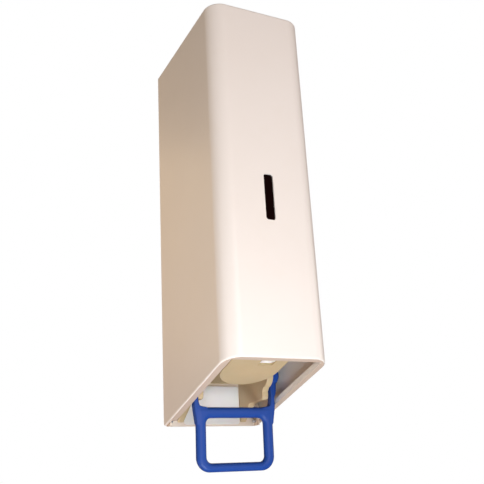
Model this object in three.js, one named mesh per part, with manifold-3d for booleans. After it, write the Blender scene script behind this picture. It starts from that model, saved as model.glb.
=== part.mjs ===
// Wall soap dispenser worked by a hanging ring lever. Millimetres, +Z up, the user stands at -Y.
// The pieces are laid out from the middle of the back plate's bottom edge: "depth" is the distance
// from the wall, so y = -depth, and heights count up from that edge. The whole group is then lowered
// by DATUM_HEIGHT, which puts the origin in the middle of the face that lies against the wall.
import * as THREE from "three";
import { mergeVertices } from "three/addons/utils/BufferGeometryUtils.js";
import Module from "manifold-3d";

const wasm = await Module();
wasm.setup();

// ---- Driving dimensions -------------------------------------------------------------------------

// Case
const WIDTH = 86;
const DEPTH = 128;
const HEIGHT = 330;
const RIM_RISE = 35; // how much higher the open bottom is at the front than at the wall
const CORNER_RADIUS = 14;
const COVER_SHEET = 1.5;
const DATUM_HEIGHT = 165;

// Running and fitting clearances
const WALL_GAP = 1; // cover's rear edge to the wall
const SIDE_GAP = 0.6; // cover to back plate, each side
const FIT = 0.2; // pieces that seat on each other
const RUNNING = 0.15; // radial, pins and plungers in their holes
const SWING_GAP = 1.4; // lever to the cover's rim

// Cover rim, sight slot and lens
const FLANGE_WIDTH = 6.1;
const FLANGE_START = 14; // depth where the side flanges begin, in front of the hinge ears
const FRONT_LIP = 5;
const LIP_HEIGHT = 4.8;
const SLOT_WIDTH = 8;
const SLOT_HEIGHT = 38;
const SLOT_BOTTOM = 140.8;
const SLOT_RADIUS = 2;
const LENS_BORDER = 3.5;
const LENS_SHEET = 1.2;
const LENS_RECESS = 0.7;

// Hinge at the bottom of the back plate
const HINGE_DEPTH = 5;
const HINGE_HEIGHT = 4.5;
const HINGE_PIN_RADIUS = 1.5;
const HINGE_PIN_LENGTH = 5;
const HINGE_CORNER = 4; // radius of the cover's rear bottom corner about the hinge

// Back plate
const PLATE_SHEET = 1.5;
const PLATE_BOTTOM = 0.6;
const PLATE_HEAD_GAP = 12.4; // plate's top to the case's top
const PLATE_FLANGE = 10;
const KEYHOLE_X = 22;
const KEYHOLE_FALL = 32.6; // keyhole under the plate's top
const KEYHOLE_HEAD = 5;
const SCREW_SLOT = 2.6;
const KEYHOLE_DROP = 10;
const LOWER_SLOT_HEIGHT = 176;

// Lock in the cover's top
const LOCK_DEPTH = 14;
const LOCK_BODY_RADIUS = 7;
const LOCK_FLANGE_RADIUS = 9.5;
const LOCK_FLANGE_HEIGHT = 2.5;
const LOCK_PLUG_RADIUS = 4.4;
const LOCK_NUT_SIZE = 10;
const LOCK_NUT_HEIGHT = 3;
const LOCK_BODY_DROP = 3.6; // length of the body under the top panel
const CAM_SHEET = 1.5;
const CAM_REACH = 10; // from the lock's axis to the outside of the turned-down tip
const CAM_TIP = 2.5;
const CAM_WIDTH = 5;
const CAM_TIP_DROP = 4.6;
const CAM_SCREW_LENGTH = 5;
const CATCH_HALF_WIDTH = 3;
const CATCH_SHEET = 1.2;
const CATCH_DEPTH = 9;
const CATCH_HEIGHT = 4.4;

// Chassis: two cheeks, a web between them and a shelf that carries the bottle
const CHEEK_SHEET = 5.5;
const CHEEK_NOSE = 10;
const CHEEK_FOOT = 24;
const CHEEK_RIM_GAP = 3;
const CHEEK_HEAD = 34;
const WEB_SHEET = 3;
const WEB_PANEL_GAP = 2;
const WEB_TOP = 150;
const SHELF_CAP_GAP = 2; // bottle cap to shelf
const SHELF_SHEET = 3.7;
const SHELF_SIDE_GAP = 5.5; // shelf to the cover's sides
const SHELF_FRONT_GAP = 12; // shelf to the case's front
const RIB_SHEET = 2.5;
const RIB_DROP = 9;
const CHASSIS_SCREW_X = 14;
const CHASSIS_SCREW_HEIGHTS = [46, 140];

// Blank panel on the back plate under the web
const PANEL_SIDE_GAP = 0.6; // panel to the cheeks
const PANEL_BOTTOM = 2;
const PANEL_TOP = 34;
const PANEL_SHEET = 1;

// Lever
const PIVOT_DEPTH = 47.4;
const PIVOT_HEIGHT = 36;
const LEVER_TILT = 2.2; // degrees, ring's bottom towards the wall
const LEVER_THICKNESS = 7;
const LEVER_ROUNDING = 2;
const RING_INSET = 2.1; // ring's side inside the lever's width at the rim
const RING_HEIGHT = 49;
const RING_RIM_DROP = 2.36; // ring's top under the rim, in front of the pivot
const RING_SIDE_BAR = 8.2;
const RING_TOP_BAR = 8.4;
const RING_BOTTOM_BAR = 6.8;
const RING_CORNER = 11;
const RING_INNER_CORNER = 4.5;
const ARM_WIDTH = 6.5;
const ARM_THICKNESS = 6;
const ARM_GAP = 0.5; // arm to cheek
const ARM_WALL_GAP = 3; // arm to the cover's side
const ARM_FLARE = 5; // height over which the arm spreads, above the lip of the rim
const FLARE_LIP_GAP = 0.24;
const BOSS_RADIUS = 6.4;
const PRESSER_RISE = 24; // presser bar over the pivot
const PRESSER_RADIUS = 4;

// Pivot pins and their clips
const PIN_RADIUS = 2.5;
const PIN_HEAD_RADIUS = 4.2;
const PIN_HEAD = 1.2;
const PIN_TAIL = 2;
const CLIP_RADIUS = 4.6;
const CLIP_SHEET = 0.8;

// Pump, lying front to back under the bottle
const STROKE_ROOM = 8.6; // push cap to barrel
const BARREL_LENGTH = 26;
const BARREL_RADIUS = 10;
const BORE_RADIUS = 7.5;
const BARREL_FLOOR = 3;
const PUSH_CAP_RADIUS = 7;
const PUSH_CAP_LENGTH = 2.5;
const PUSH_GAP = 0.6;
const ROD_RADIUS = 3.6;
const PISTON_ENTRY = 3.5; // piston inside the barrel's open end
const PISTON_LENGTH = 6;
const SEAL_LENGTH = 2.6;
const SEAL_DEPTH = 1.4;
const SPRING_WIRE = 0.45;
const SPRING_RADIUS = 5.4;
const SPRING_TURNS = 5;
const INLET_RADIUS = 8;
const INLET_BORE = 2.4;
const BALL_CHAMBER = 4.4;
const BALL_RADIUS = 2.8;
const BALL_SEAT_WALL = 1.5; // between the barrel's bore and the ball's seat
const OUTLET_OFFSET = 6.7;
const OUTLET_FORWARD = 4.6; // outlet in front of the barrel
const OUTLET_BLOCK_HALF = 6.4;
const OUTLET_BLOCK_LENGTH = 10;
const OUTLET_BLOCK_HEIGHT = 16;
const OUTLET_BORE = 2.2;
const SPOUT_WIDTH = 11;
const SPOUT_LENGTH = 8;
const SPOUT_RISE = 0.33; // spout's mouth over the tray's underside
const SPOUT_BORE = 3;

// Bottle, neck down, with the cap that holds the pump to it
const BOTTLE_BACK = 23;
const BOTTLE_FRONT_GAP = 13; // bottle to the case's front
const BOTTLE_SIDE_GAP = 5; // bottle to the cover's sides
const BOTTLE_HEAD_GAP = 29.6; // bottle to the plate's top
const BOTTLE_RADIUS = 15;
const BOTTLE_SHOULDER = 5;
const NECK_FORWARD = 13; // neck's axis in front of the barrel's open end, over its chamber
const NECK_RADIUS = 12.4;
const NECK_BORE = 9;
const NECK_BORE_DEPTH = 26.2;
const CAP_RADIUS = 17;
const CAP_PUMP_GAP = 1; // cap to barrel
const CAP_HEIGHT = 19;
const CAP_FLOOR = 1.8;
const PUMP_FLANGE = 2.8;
const GASKET = 1.6;
const GASKET_GAP = 0.1;
const NECK_GASKET_GAP = 0.3;

// Half-round outlet tray under the pump
const TRAY_CHEEK_GAP = 2;
const TRAY_FRONT_GAP = 9; // tray to the case's front
const TRAY_PIVOT_GAP = 7.6; // tray's round end in front of the pivot
const TRAY_RIM_GAP = 12; // over the plane of the rim
const TRAY_SHEET = 2;
const TRAY_CURB = 7;
const WINDOW_WIDTH = 12.6;
const WINDOW_LENGTH = 9.6;
const TRAY_SCREW_BACK = 19; // screws behind the tray's front

// Small screws
const SCREW_RADIUS = 1.6;
const SCREW_HEAD_RADIUS = 3.2;
const SCREW_HEAD = 2;

// ---- Values that follow from them ---------------------------------------------------------------

const HALF = WIDTH / 2;
const INSIDE = HALF - COVER_SHEET;
const RIM_SLOPE = RIM_RISE / DEPTH;

const rimHeight = (depth) => RIM_SLOPE * depth;

const PLATE_HALF = INSIDE - SIDE_GAP;
const PLATE_TOP = HEIGHT - PLATE_HEAD_GAP;
const KEYHOLE_HEIGHT = PLATE_TOP - KEYHOLE_FALL;

const OPENING_HALF = HALF - FLANGE_WIDTH;
const RIM_PASS = OPENING_HALF - SWING_GAP; // the lever's half width where it passes the rim
const RING_HALF_WIDTH = RIM_PASS - RING_INSET;
const PIVOT_OVER_RIM = PIVOT_HEIGHT - rimHeight(PIVOT_DEPTH);
const RING_TOP = PIVOT_OVER_RIM + RING_RIM_DROP; // under the pivot, as the next three
const RING_BOTTOM = RING_TOP + RING_HEIGHT;
const ARM_FLARE_BOTTOM = PIVOT_OVER_RIM - LIP_HEIGHT - FLARE_LIP_GAP;
const ARM_FLARE_TOP = ARM_FLARE_BOTTOM - ARM_FLARE;

const ARM_OUTER = INSIDE - ARM_WALL_GAP;
const ARM_INNER = ARM_OUTER - ARM_WIDTH;
const CHEEK_OUTER = ARM_INNER - ARM_GAP;
const CHEEK_INNER = CHEEK_OUTER - CHEEK_SHEET;
const WEB_BACK = PLATE_SHEET + FIT;
const WEB_FRONT = WEB_BACK + WEB_SHEET;
const WEB_BOTTOM = PANEL_TOP + WEB_PANEL_GAP;
const PANEL_HALF_WIDTH = CHEEK_INNER - PANEL_SIDE_GAP;

const TILT = THREE.MathUtils.degToRad(LEVER_TILT);
const PRESSER_DEPTH = PIVOT_DEPTH + PRESSER_RISE * Math.sin(TILT);
const PUSH_CAP_START = PRESSER_DEPTH + PRESSER_RADIUS + PUSH_GAP;
const PUMP_HEIGHT = PIVOT_HEIGHT + PRESSER_RISE;
const BARREL_START = PUSH_CAP_START + PUSH_CAP_LENGTH + STROKE_ROOM;
const BARREL_END = BARREL_START + BARREL_LENGTH;
const BARREL_FLOOR_START = BARREL_END - BARREL_FLOOR;
const PISTON_START = BARREL_START + PISTON_ENTRY;
const OUTLET_DEPTH = BARREL_END + OUTLET_FORWARD;
const SPOUT_BOTTOM = rimHeight(OUTLET_DEPTH) + TRAY_RIM_GAP + SPOUT_RISE;

const NECK_DEPTH = BARREL_START + NECK_FORWARD;
const CAP_BOTTOM = PUMP_HEIGHT + BARREL_RADIUS + CAP_PUMP_GAP;
const CAP_TOP = CAP_BOTTOM + CAP_HEIGHT;
const PUMP_FLANGE_BOTTOM = CAP_BOTTOM + CAP_FLOOR + FIT;
const PUMP_FLANGE_TOP = PUMP_FLANGE_BOTTOM + PUMP_FLANGE;
const NECK_END = PUMP_FLANGE_TOP + GASKET_GAP + GASKET + NECK_GASKET_GAP;
const BALL_SEAT = PUMP_HEIGHT + BORE_RADIUS + BALL_SEAT_WALL;
const SHELF_HEIGHT = CAP_TOP + SHELF_CAP_GAP;
const SHELF_HALF_WIDTH = INSIDE - SHELF_SIDE_GAP;
const SHELF_DEPTH = DEPTH - SHELF_FRONT_GAP;
const BOTTLE_HALF_WIDTH = INSIDE - BOTTLE_SIDE_GAP;
const BOTTLE_FRONT = DEPTH - BOTTLE_FRONT_GAP;
const BOTTLE_TOP = PLATE_TOP - BOTTLE_HEAD_GAP;

const TRAY_HALF_WIDTH = CHEEK_INNER - TRAY_CHEEK_GAP;
const TRAY_FRONT = DEPTH - TRAY_FRONT_GAP;
const TRAY_STRAIGHT = PIVOT_DEPTH + TRAY_PIVOT_GAP + TRAY_HALF_WIDTH; // where the round end begins
const TRAY_SCREW_DEPTH = TRAY_FRONT - TRAY_SCREW_BACK;

const LOCK_FLOOR = HEIGHT - COVER_SHEET - LOCK_BODY_DROP;
const CAM_TOP = LOCK_FLOOR - FIT;

// ---- Materials ----------------------------------------------------------------------------------

const material = (color, roughness, metalness = 0) =>
  new THREE.MeshStandardMaterial({ color, roughness, metalness });

const coverPaint = material(0xf3ece2, 0.35);
const platePaint = material(0xe6dccf, 0.5);
const beigePlastic = material(0xc6ae8a, 0.55);
const whitePlastic = material(0xf2ede6, 0.45);
const bluePlastic = material(0x24489f, 0.4);
const smokedPlastic = material(0x140d0b, 0.2);
const bottlePlastic = material(0xe9e6dc, 0.4);
const rubber = material(0x2a2a2c, 0.8);
const steel = material(0xb9bbbd, 0.3, 1);

// ---- Solids -------------------------------------------------------------------------------------

// A closed geometry as a solid that can be cut and joined.
function solid(geometry) {
  const bare = geometry.index ? geometry.toNonIndexed() : geometry.clone();
  bare.deleteAttribute("normal");
  bare.deleteAttribute("uv");
  const merged = mergeVertices(bare, 1e-4);
  return new wasm.Manifold(
    new wasm.Mesh({
      numProp: 3,
      vertProperties: merged.attributes.position.array,
      triVerts: new Uint32Array(merged.index.array),
    }),
  );
}

function geometryOf(shape) {
  const { numProp, numVert, vertProperties, triVerts } = shape.getMesh();
  const positions = new Float32Array(numVert * 3);
  for (let i = 0; i < numVert; i++) {
    positions.set(vertProperties.subarray(i * numProp, i * numProp + 3), i * 3);
  }
  const geometry = new THREE.BufferGeometry();
  geometry.setAttribute("position", new THREE.BufferAttribute(positions, 3));
  geometry.setIndex(new THREE.BufferAttribute(new Uint32Array(triVerts), 1));
  geometry.computeVertexNormals();
  return geometry;
}

const join = (first, ...rest) => rest.reduce((sum, one) => sum.add(one), first);
const cut = (first, ...rest) => rest.reduce((left, one) => left.subtract(one), first);

function piece(name, shape, surface) {
  const mesh = new THREE.Mesh(geometryOf(shape), surface);
  mesh.name = name;
  return mesh;
}

function box(x0, x1, depth0, depth1, z0, z1) {
  const geometry = new THREE.BoxGeometry(x1 - x0, depth1 - depth0, z1 - z0);
  geometry.translate((x0 + x1) / 2, -(depth0 + depth1) / 2, (z0 + z1) / 2);
  return solid(geometry);
}

// Round bars along each axis.
function barX(radius, x0, x1, depth, z, sides = 24) {
  const geometry = new THREE.CylinderGeometry(radius, radius, x1 - x0, sides);
  geometry.rotateZ(Math.PI / 2).translate((x0 + x1) / 2, -depth, z);
  return solid(geometry);
}

function barY(radius, depth0, depth1, x, z, sides = 20) {
  const geometry = new THREE.CylinderGeometry(radius, radius, depth1 - depth0, sides);
  geometry.translate(x, -(depth0 + depth1) / 2, z);
  return solid(geometry);
}

function barZ(radius, z0, z1, x, depth, sides = 20) {
  const geometry = new THREE.CylinderGeometry(radius, radius, z1 - z0, sides);
  geometry.rotateX(Math.PI / 2).translate(x, -depth, (z0 + z1) / 2);
  return solid(geometry);
}

// A plan outline in x and y, raised from z0 to z1.
function planPrism(shape, z0, z1, curveSegments = 6) {
  const geometry = new THREE.ExtrudeGeometry(shape, {
    depth: z1 - z0,
    bevelEnabled: false,
    curveSegments,
  });
  return solid(geometry.translate(0, 0, z0));
}

// A side outline given as [depth, z] points or as a shape in y and z, drawn out from x0 to x1.
function sidePrism(outline, x0, x1, curveSegments = 8) {
  const shape = Array.isArray(outline)
    ? new THREE.Shape(outline.map(([depth, z]) => new THREE.Vector2(-depth, z)))
    : outline;
  const geometry = new THREE.ExtrudeGeometry(shape, {
    depth: x1 - x0,
    bevelEnabled: false,
    curveSegments,
  });
  const toSide = new THREE.Matrix4().makeBasis(
    new THREE.Vector3(0, 1, 0),
    new THREE.Vector3(0, 0, 1),
    new THREE.Vector3(1, 0, 0),
  );
  return solid(geometry.applyMatrix4(toSide).translate(x0, 0, 0));
}

// A front outline in x and z, drawn out from depth0 to depth1, with edges rounded by `rounding`.
function frontPrism(shape, depth0, depth1, rounding = 0, curveSegments = 8) {
  const geometry = new THREE.ExtrudeGeometry(shape, {
    depth: depth1 - depth0 - 2 * rounding,
    bevelEnabled: rounding > 0,
    bevelSize: rounding,
    bevelThickness: rounding,
    bevelOffset: -rounding,
    bevelSegments: 2,
    curveSegments,
  });
  const toFront = new THREE.Matrix4().makeBasis(
    new THREE.Vector3(1, 0, 0),
    new THREE.Vector3(0, 0, 1),
    new THREE.Vector3(0, -1, 0),
  );
  return solid(geometry.applyMatrix4(toFront).translate(0, -depth0 - rounding, 0));
}

// A closed profile of [radius, z] points turned about a vertical axis.
function turned(profile, x, depth, segments = 32) {
  const points = profile.map(([radius, z]) => new THREE.Vector2(radius, z));
  const geometry = new THREE.LatheGeometry([...points, points[0].clone()], segments);
  return solid(geometry.rotateX(Math.PI / 2).translate(x, -depth, 0));
}

function roundedRectangle(u0, u1, v0, v1, radius, Kind = THREE.Shape) {
  const outline = new Kind();
  const quarter = Math.PI / 2;
  outline.absarc(u1 - radius, v0 + radius, radius, -quarter, 0);
  outline.absarc(u1 - radius, v1 - radius, radius, 0, quarter);
  outline.absarc(u0 + radius, v1 - radius, radius, quarter, 2 * quarter);
  outline.absarc(u0 + radius, v0 + radius, radius, 2 * quarter, 3 * quarter);
  return outline;
}

// ---- Cover --------------------------------------------------------------------------------------

// The case's plan: square at the wall, rounded at the two front edges.
function casePlan(halfWidth, rearDepth, frontDepth, radius) {
  const plan = new THREE.Shape();
  plan.moveTo(halfWidth, -rearDepth);
  plan.lineTo(-halfWidth, -rearDepth);
  plan.lineTo(-halfWidth, -frontDepth + radius);
  plan.absarc(-halfWidth + radius, -frontDepth + radius, radius, Math.PI, 1.5 * Math.PI);
  plan.absarc(halfWidth - radius, -frontDepth + radius, radius, -Math.PI / 2, 0);
  return plan;
}

// What lies between two planes parallel to the slanted rim.
function rimSlab(low, high) {
  const far = 2 * DEPTH;
  return sidePrism(
    [
      [-far, rimHeight(-far) + low],
      [far, rimHeight(far) + low],
      [far, rimHeight(far) + high],
      [-far, rimHeight(-far) + high],
    ],
    -WIDTH,
    WIDTH,
  );
}

function makeCover() {
  const inner = CORNER_RADIUS - COVER_SHEET;
  const outside = casePlan(HALF, WALL_GAP, DEPTH, CORNER_RADIUS);
  const hollow = casePlan(INSIDE, -WALL_GAP, DEPTH - COVER_SHEET, inner);
  const shell = cut(
    planPrism(outside, 0, HEIGHT, 10),
    planPrism(hollow, -RIM_RISE, HEIGHT - COVER_SHEET, 10),
    rimSlab(-HEIGHT, 0),
  );

  // Folded rim: a flange along both sides and the front, and an upturned lip on each side flange.
  const rimPlan = casePlan(HALF - COVER_SHEET / 2, FLANGE_START, DEPTH - COVER_SHEET / 2, inner);
  const way = box(-OPENING_HALF, OPENING_HALF, -DEPTH, DEPTH - FRONT_LIP, -HEIGHT, HEIGHT);
  const flange = cut(planPrism(rimPlan, 0, 2 * RIM_RISE, 10), way).intersect(rimSlab(0, COVER_SHEET));
  const lips = [-1, 1].map((side) => {
    const x0 = side > 0 ? OPENING_HALF : -OPENING_HALF - COVER_SHEET;
    const run = box(x0, x0 + COVER_SHEET, FLANGE_START, DEPTH - FRONT_LIP, 0, 2 * RIM_RISE);
    return run.intersect(rimSlab(0.5 * COVER_SHEET, LIP_HEIGHT));
  });

  const rearCorner = cut(
    box(-WIDTH, WIDTH, -WALL_GAP, HINGE_DEPTH, -HINGE_HEIGHT, HINGE_HEIGHT),
    barX(HINGE_CORNER, -WIDTH, WIDTH, HINGE_DEPTH, HINGE_HEIGHT, 48),
  );
  const slot = roundedRectangle(
    -SLOT_WIDTH / 2,
    SLOT_WIDTH / 2,
    SLOT_BOTTOM,
    SLOT_BOTTOM + SLOT_HEIGHT,
    SLOT_RADIUS,
  );
  return cut(
    join(shell, flange, ...lips),
    rearCorner,
    frontPrism(slot, DEPTH - 2 * COVER_SHEET, DEPTH + COVER_SHEET),
    barZ(LOCK_BODY_RADIUS + FIT, HEIGHT - 2 * COVER_SHEET, HEIGHT + COVER_SHEET, 0, LOCK_DEPTH, 32),
  );
}

// Smoked lens: a plate behind the front panel with a raised block that fills the sight slot.
function makeLens() {
  const back = DEPTH - COVER_SHEET - FIT;
  const outline = (grow) =>
    roundedRectangle(
      -SLOT_WIDTH / 2 - grow,
      SLOT_WIDTH / 2 + grow,
      SLOT_BOTTOM - grow,
      SLOT_BOTTOM + SLOT_HEIGHT + grow,
      SLOT_RADIUS,
    );
  return join(
    frontPrism(outline(LENS_BORDER), back - LENS_SHEET, back),
    frontPrism(outline(-FIT), back - LENS_SHEET / 2, DEPTH - LENS_RECESS),
  );
}

// Stud on the inside of the cover's wall, running in the ear of the back plate.
const makeHingePin = () => barX(HINGE_PIN_RADIUS, 0, HINGE_PIN_LENGTH, 0, 0);

// ---- Lock ---------------------------------------------------------------------------------------

function makeLockHousing() {
  const body = LOCK_BODY_RADIUS;
  const bore = LOCK_PLUG_RADIUS + RUNNING;
  const seat = HEIGHT + FIT / 2;
  return turned(
    [
      [bore, LOCK_FLOOR],
      [body, LOCK_FLOOR],
      [body, seat],
      [LOCK_FLANGE_RADIUS, seat],
      [LOCK_FLANGE_RADIUS - 1, HEIGHT + LOCK_FLANGE_HEIGHT],
      [bore, HEIGHT + LOCK_FLANGE_HEIGHT],
    ],
    0,
    LOCK_DEPTH,
  );
}

function makeLockNut() {
  const top = HEIGHT - COVER_SHEET - FIT;
  return cut(
    barZ(LOCK_NUT_SIZE, top - LOCK_NUT_HEIGHT, top, 0, LOCK_DEPTH, 6),
    barZ(LOCK_BODY_RADIUS + FIT, 0, HEIGHT, 0, LOCK_DEPTH, 32),
  );
}

// Turning plug with a triangular socket for the key in its top.
function makeLockPlug() {
  const top = HEIGHT + LOCK_FLANGE_HEIGHT - 0.3;
  return cut(
    barZ(LOCK_PLUG_RADIUS, CAM_TOP, top, 0, LOCK_DEPTH, 32),
    barZ(LOCK_PLUG_RADIUS * 0.62, top - 3, top + 1, 0, LOCK_DEPTH, 3),
    barZ(SCREW_RADIUS + FIT, 0, top - 4, 0, LOCK_DEPTH, 16),
  );
}

// Flat cam under the plug, pointing to +X when the cover is free, with its tip turned down.
function makeLockCam() {
  const low = CAM_TOP - FIT - CAM_SHEET;
  const half = CAM_WIDTH / 2;
  const arm = box(0, CAM_REACH, LOCK_DEPTH - half, LOCK_DEPTH + half, low, low + CAM_SHEET);
  const eye = barZ(LOCK_PLUG_RADIUS, low, low + CAM_SHEET, 0, LOCK_DEPTH, 32);
  const tip = box(
    CAM_REACH - CAM_TIP,
    CAM_REACH,
    LOCK_DEPTH - half,
    LOCK_DEPTH + half,
    low - CAM_TIP_DROP,
    low + CAM_SHEET / 2,
  );
  return cut(join(arm, eye, tip), barZ(SCREW_RADIUS + FIT, 0, HEIGHT, 0, LOCK_DEPTH, 16));
}

// ---- Screws, pins and clips ---------------------------------------------------------------------

// A round-headed screw along -Y, its head's seat at depth 0 and its shank reaching to -length.
function makeScrew(length) {
  const head = barY(SCREW_HEAD_RADIUS, 0, SCREW_HEAD, 0, 0, 12);
  const crown = barY(SCREW_HEAD_RADIUS * 0.75, 0, SCREW_HEAD * 1.25, 0, 0, 12);
  const shank = barY(SCREW_RADIUS, -length, SCREW_HEAD / 2, 0, 0, 8);
  const recess = (u, v) => box(-u, u, SCREW_HEAD * 0.75, 2 * SCREW_HEAD, -v, v);
  return cut(join(head, crown, shank), recess(1.8, 0.35), recess(0.35, 1.8));
}

// Headed pin through an arm of the lever and a cheek, drawn for the +X side.
function makePivotPin() {
  const headSeat = ARM_OUTER + FIT;
  return join(
    barX(PIN_RADIUS, CHEEK_INNER - PIN_TAIL, headSeat + PIN_HEAD / 2, 0, 0),
    barX(PIN_HEAD_RADIUS, headSeat, headSeat + PIN_HEAD, 0, 0),
  );
}

// Open clip pressed round the pin's tail.
function makePivotClip() {
  const start = CHEEK_INNER - FIT - CLIP_SHEET;
  const disc = barX(CLIP_RADIUS, start, start + CLIP_SHEET, 0, 0);
  const bore = barX(PIN_RADIUS + 0.05, 0, CHEEK_INNER, 0, 0);
  const mouth = PIN_RADIUS * 0.7;
  return cut(disc, bore, box(0, CHEEK_INNER, -mouth, mouth, -2 * CLIP_RADIUS, 0));
}

// ---- Back plate and chassis ---------------------------------------------------------------------

// Keyhole for a wall screw: a round head hole with a narrow slot above it.
function keyhole(x) {
  const narrowTop = KEYHOLE_HEIGHT + KEYHOLE_DROP;
  const reach = 2 * PLATE_SHEET;
  return join(
    barY(KEYHOLE_HEAD, -reach, reach, x, KEYHOLE_HEIGHT),
    box(x - SCREW_SLOT, x + SCREW_SLOT, -reach, reach, KEYHOLE_HEIGHT, narrowTop),
    barY(SCREW_SLOT, -reach, reach, x, narrowTop),
  );
}

function lowerSlot(x) {
  const shape = roundedRectangle(
    x - KEYHOLE_HEAD,
    x + KEYHOLE_HEAD,
    LOWER_SLOT_HEIGHT - SCREW_SLOT,
    LOWER_SLOT_HEIGHT + SCREW_SLOT,
    SCREW_SLOT - 0.01,
  );
  return frontPrism(shape, -PLATE_SHEET, 2 * PLATE_SHEET);
}

function makeBackPlate() {
  const sides = [-1, 1];
  const sheet = box(-PLATE_HALF, PLATE_HALF, 0, PLATE_SHEET, PLATE_BOTTOM, PLATE_TOP);
  const flanges = sides.map((side) => {
    const x0 = side > 0 ? PLATE_HALF - PLATE_SHEET : -PLATE_HALF;
    return box(x0, x0 + PLATE_SHEET, 0, PLATE_FLANGE, PLATE_BOTTOM, PLATE_TOP);
  });
  const ledge = box(-PLATE_HALF, PLATE_HALF, 0, CATCH_DEPTH, PLATE_TOP - PLATE_SHEET, PLATE_TOP);
  const catchLip = box(
    -CATCH_HALF_WIDTH,
    CATCH_HALF_WIDTH,
    CATCH_DEPTH - CATCH_SHEET,
    CATCH_DEPTH,
    PLATE_TOP - PLATE_SHEET / 2,
    PLATE_TOP + CATCH_HEIGHT,
  );
  const screwHoles = CHASSIS_SCREW_HEIGHTS.flatMap((z) =>
    sides.map((side) =>
      barY(SCREW_RADIUS + FIT, -1, 2 * PLATE_SHEET, side * CHASSIS_SCREW_X, z, 16),
    ),
  );
  return cut(
    join(sheet, ...flanges, ledge, catchLip),
    ...sides.flatMap((side) => [keyhole(side * KEYHOLE_X), lowerSlot(side * KEYHOLE_X)]),
    ...screwHoles,
    barX(HINGE_PIN_RADIUS + RUNNING, -WIDTH, WIDTH, HINGE_DEPTH, HINGE_HEIGHT, 32),
  );
}

// One cheek's side outline: a foot by the wall, a round nose about the pivot and a head up to the shelf.
function cheekOutline() {
  const outline = new THREE.Shape();
  const foot = Math.min(CHEEK_FOOT, PIVOT_DEPTH - 2 * CHEEK_NOSE);
  outline.moveTo(-WEB_BACK, rimHeight(WEB_BACK) + CHEEK_RIM_GAP);
  outline.lineTo(-WEB_BACK, SHELF_HEIGHT + SHELF_SHEET);
  outline.lineTo(-CHEEK_HEAD, SHELF_HEIGHT + SHELF_SHEET);
  outline.lineTo(-CHEEK_HEAD, PIVOT_HEIGHT + CHEEK_NOSE + 6);
  outline.lineTo(-PIVOT_DEPTH + 4, PIVOT_HEIGHT + CHEEK_NOSE);
  outline.absarc(-PIVOT_DEPTH, PIVOT_HEIGHT, CHEEK_NOSE, Math.PI / 2, 1.8 * Math.PI);
  outline.lineTo(-foot, rimHeight(foot) + CHEEK_RIM_GAP);
  return outline;
}

function makeChassis() {
  const sides = [-1, 1];
  const cheeks = sides.map((side) => {
    const x0 = side > 0 ? CHEEK_INNER : -CHEEK_OUTER;
    return sidePrism(cheekOutline(), x0, x0 + CHEEK_SHEET, 14);
  });
  const web = box(-CHEEK_OUTER, CHEEK_OUTER, WEB_BACK, WEB_FRONT, WEB_BOTTOM, WEB_TOP);
  const shelfPlan = roundedRectangle(
    -SHELF_HALF_WIDTH,
    SHELF_HALF_WIDTH,
    -SHELF_DEPTH,
    -WEB_BACK,
    4,
  );
  const shelf = planPrism(shelfPlan, SHELF_HEIGHT, SHELF_HEIGHT + SHELF_SHEET);
  const ribs = sides.map((side) => {
    const inner = TRAY_HALF_WIDTH + FIT;
    const x0 = side > 0 ? inner : -inner - RIB_SHEET;
    const top = SHELF_HEIGHT + SHELF_SHEET / 2;
    return box(x0, x0 + RIB_SHEET, WEB_BACK, SHELF_DEPTH - 4, SHELF_HEIGHT - RIB_DROP, top);
  });
  const screwHoles = CHASSIS_SCREW_HEIGHTS.flatMap((z) =>
    sides.map((side) => barY(SCREW_RADIUS + FIT, 0, 3 * WEB_SHEET, side * CHASSIS_SCREW_X, z, 16)),
  );
  return cut(
    join(...cheeks, web, shelf, ...ribs),
    barZ(NECK_RADIUS + 1.6, 0, HEIGHT, 0, NECK_DEPTH, 40),
    barX(PIN_RADIUS + RUNNING, -WIDTH, WIDTH, PIVOT_DEPTH, PIVOT_HEIGHT, 32),
    barX(SCREW_RADIUS + FIT, -WIDTH, WIDTH, TRAY_SCREW_DEPTH, SHELF_HEIGHT - RIB_DROP / 2, 16),
    ...screwHoles,
  );
}

const makePanel = () => {
  const shape = roundedRectangle(-PANEL_HALF_WIDTH, PANEL_HALF_WIDTH, PANEL_BOTTOM, PANEL_TOP, 2);
  return frontPrism(shape, PLATE_SHEET, PLATE_SHEET + PANEL_SHEET);
};

// ---- Outlet tray --------------------------------------------------------------------------------

// The tray's plan: straight sides from the front, closed by a half-round end towards the wall.
function trayPlan(halfWidth, frontDepth) {
  const plan = new THREE.Shape();
  plan.moveTo(-halfWidth, -frontDepth);
  plan.lineTo(halfWidth, -frontDepth);
  plan.lineTo(halfWidth, -TRAY_STRAIGHT);
  plan.absarc(0, -TRAY_STRAIGHT, halfWidth, 0, Math.PI);
  return plan;
}

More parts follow.
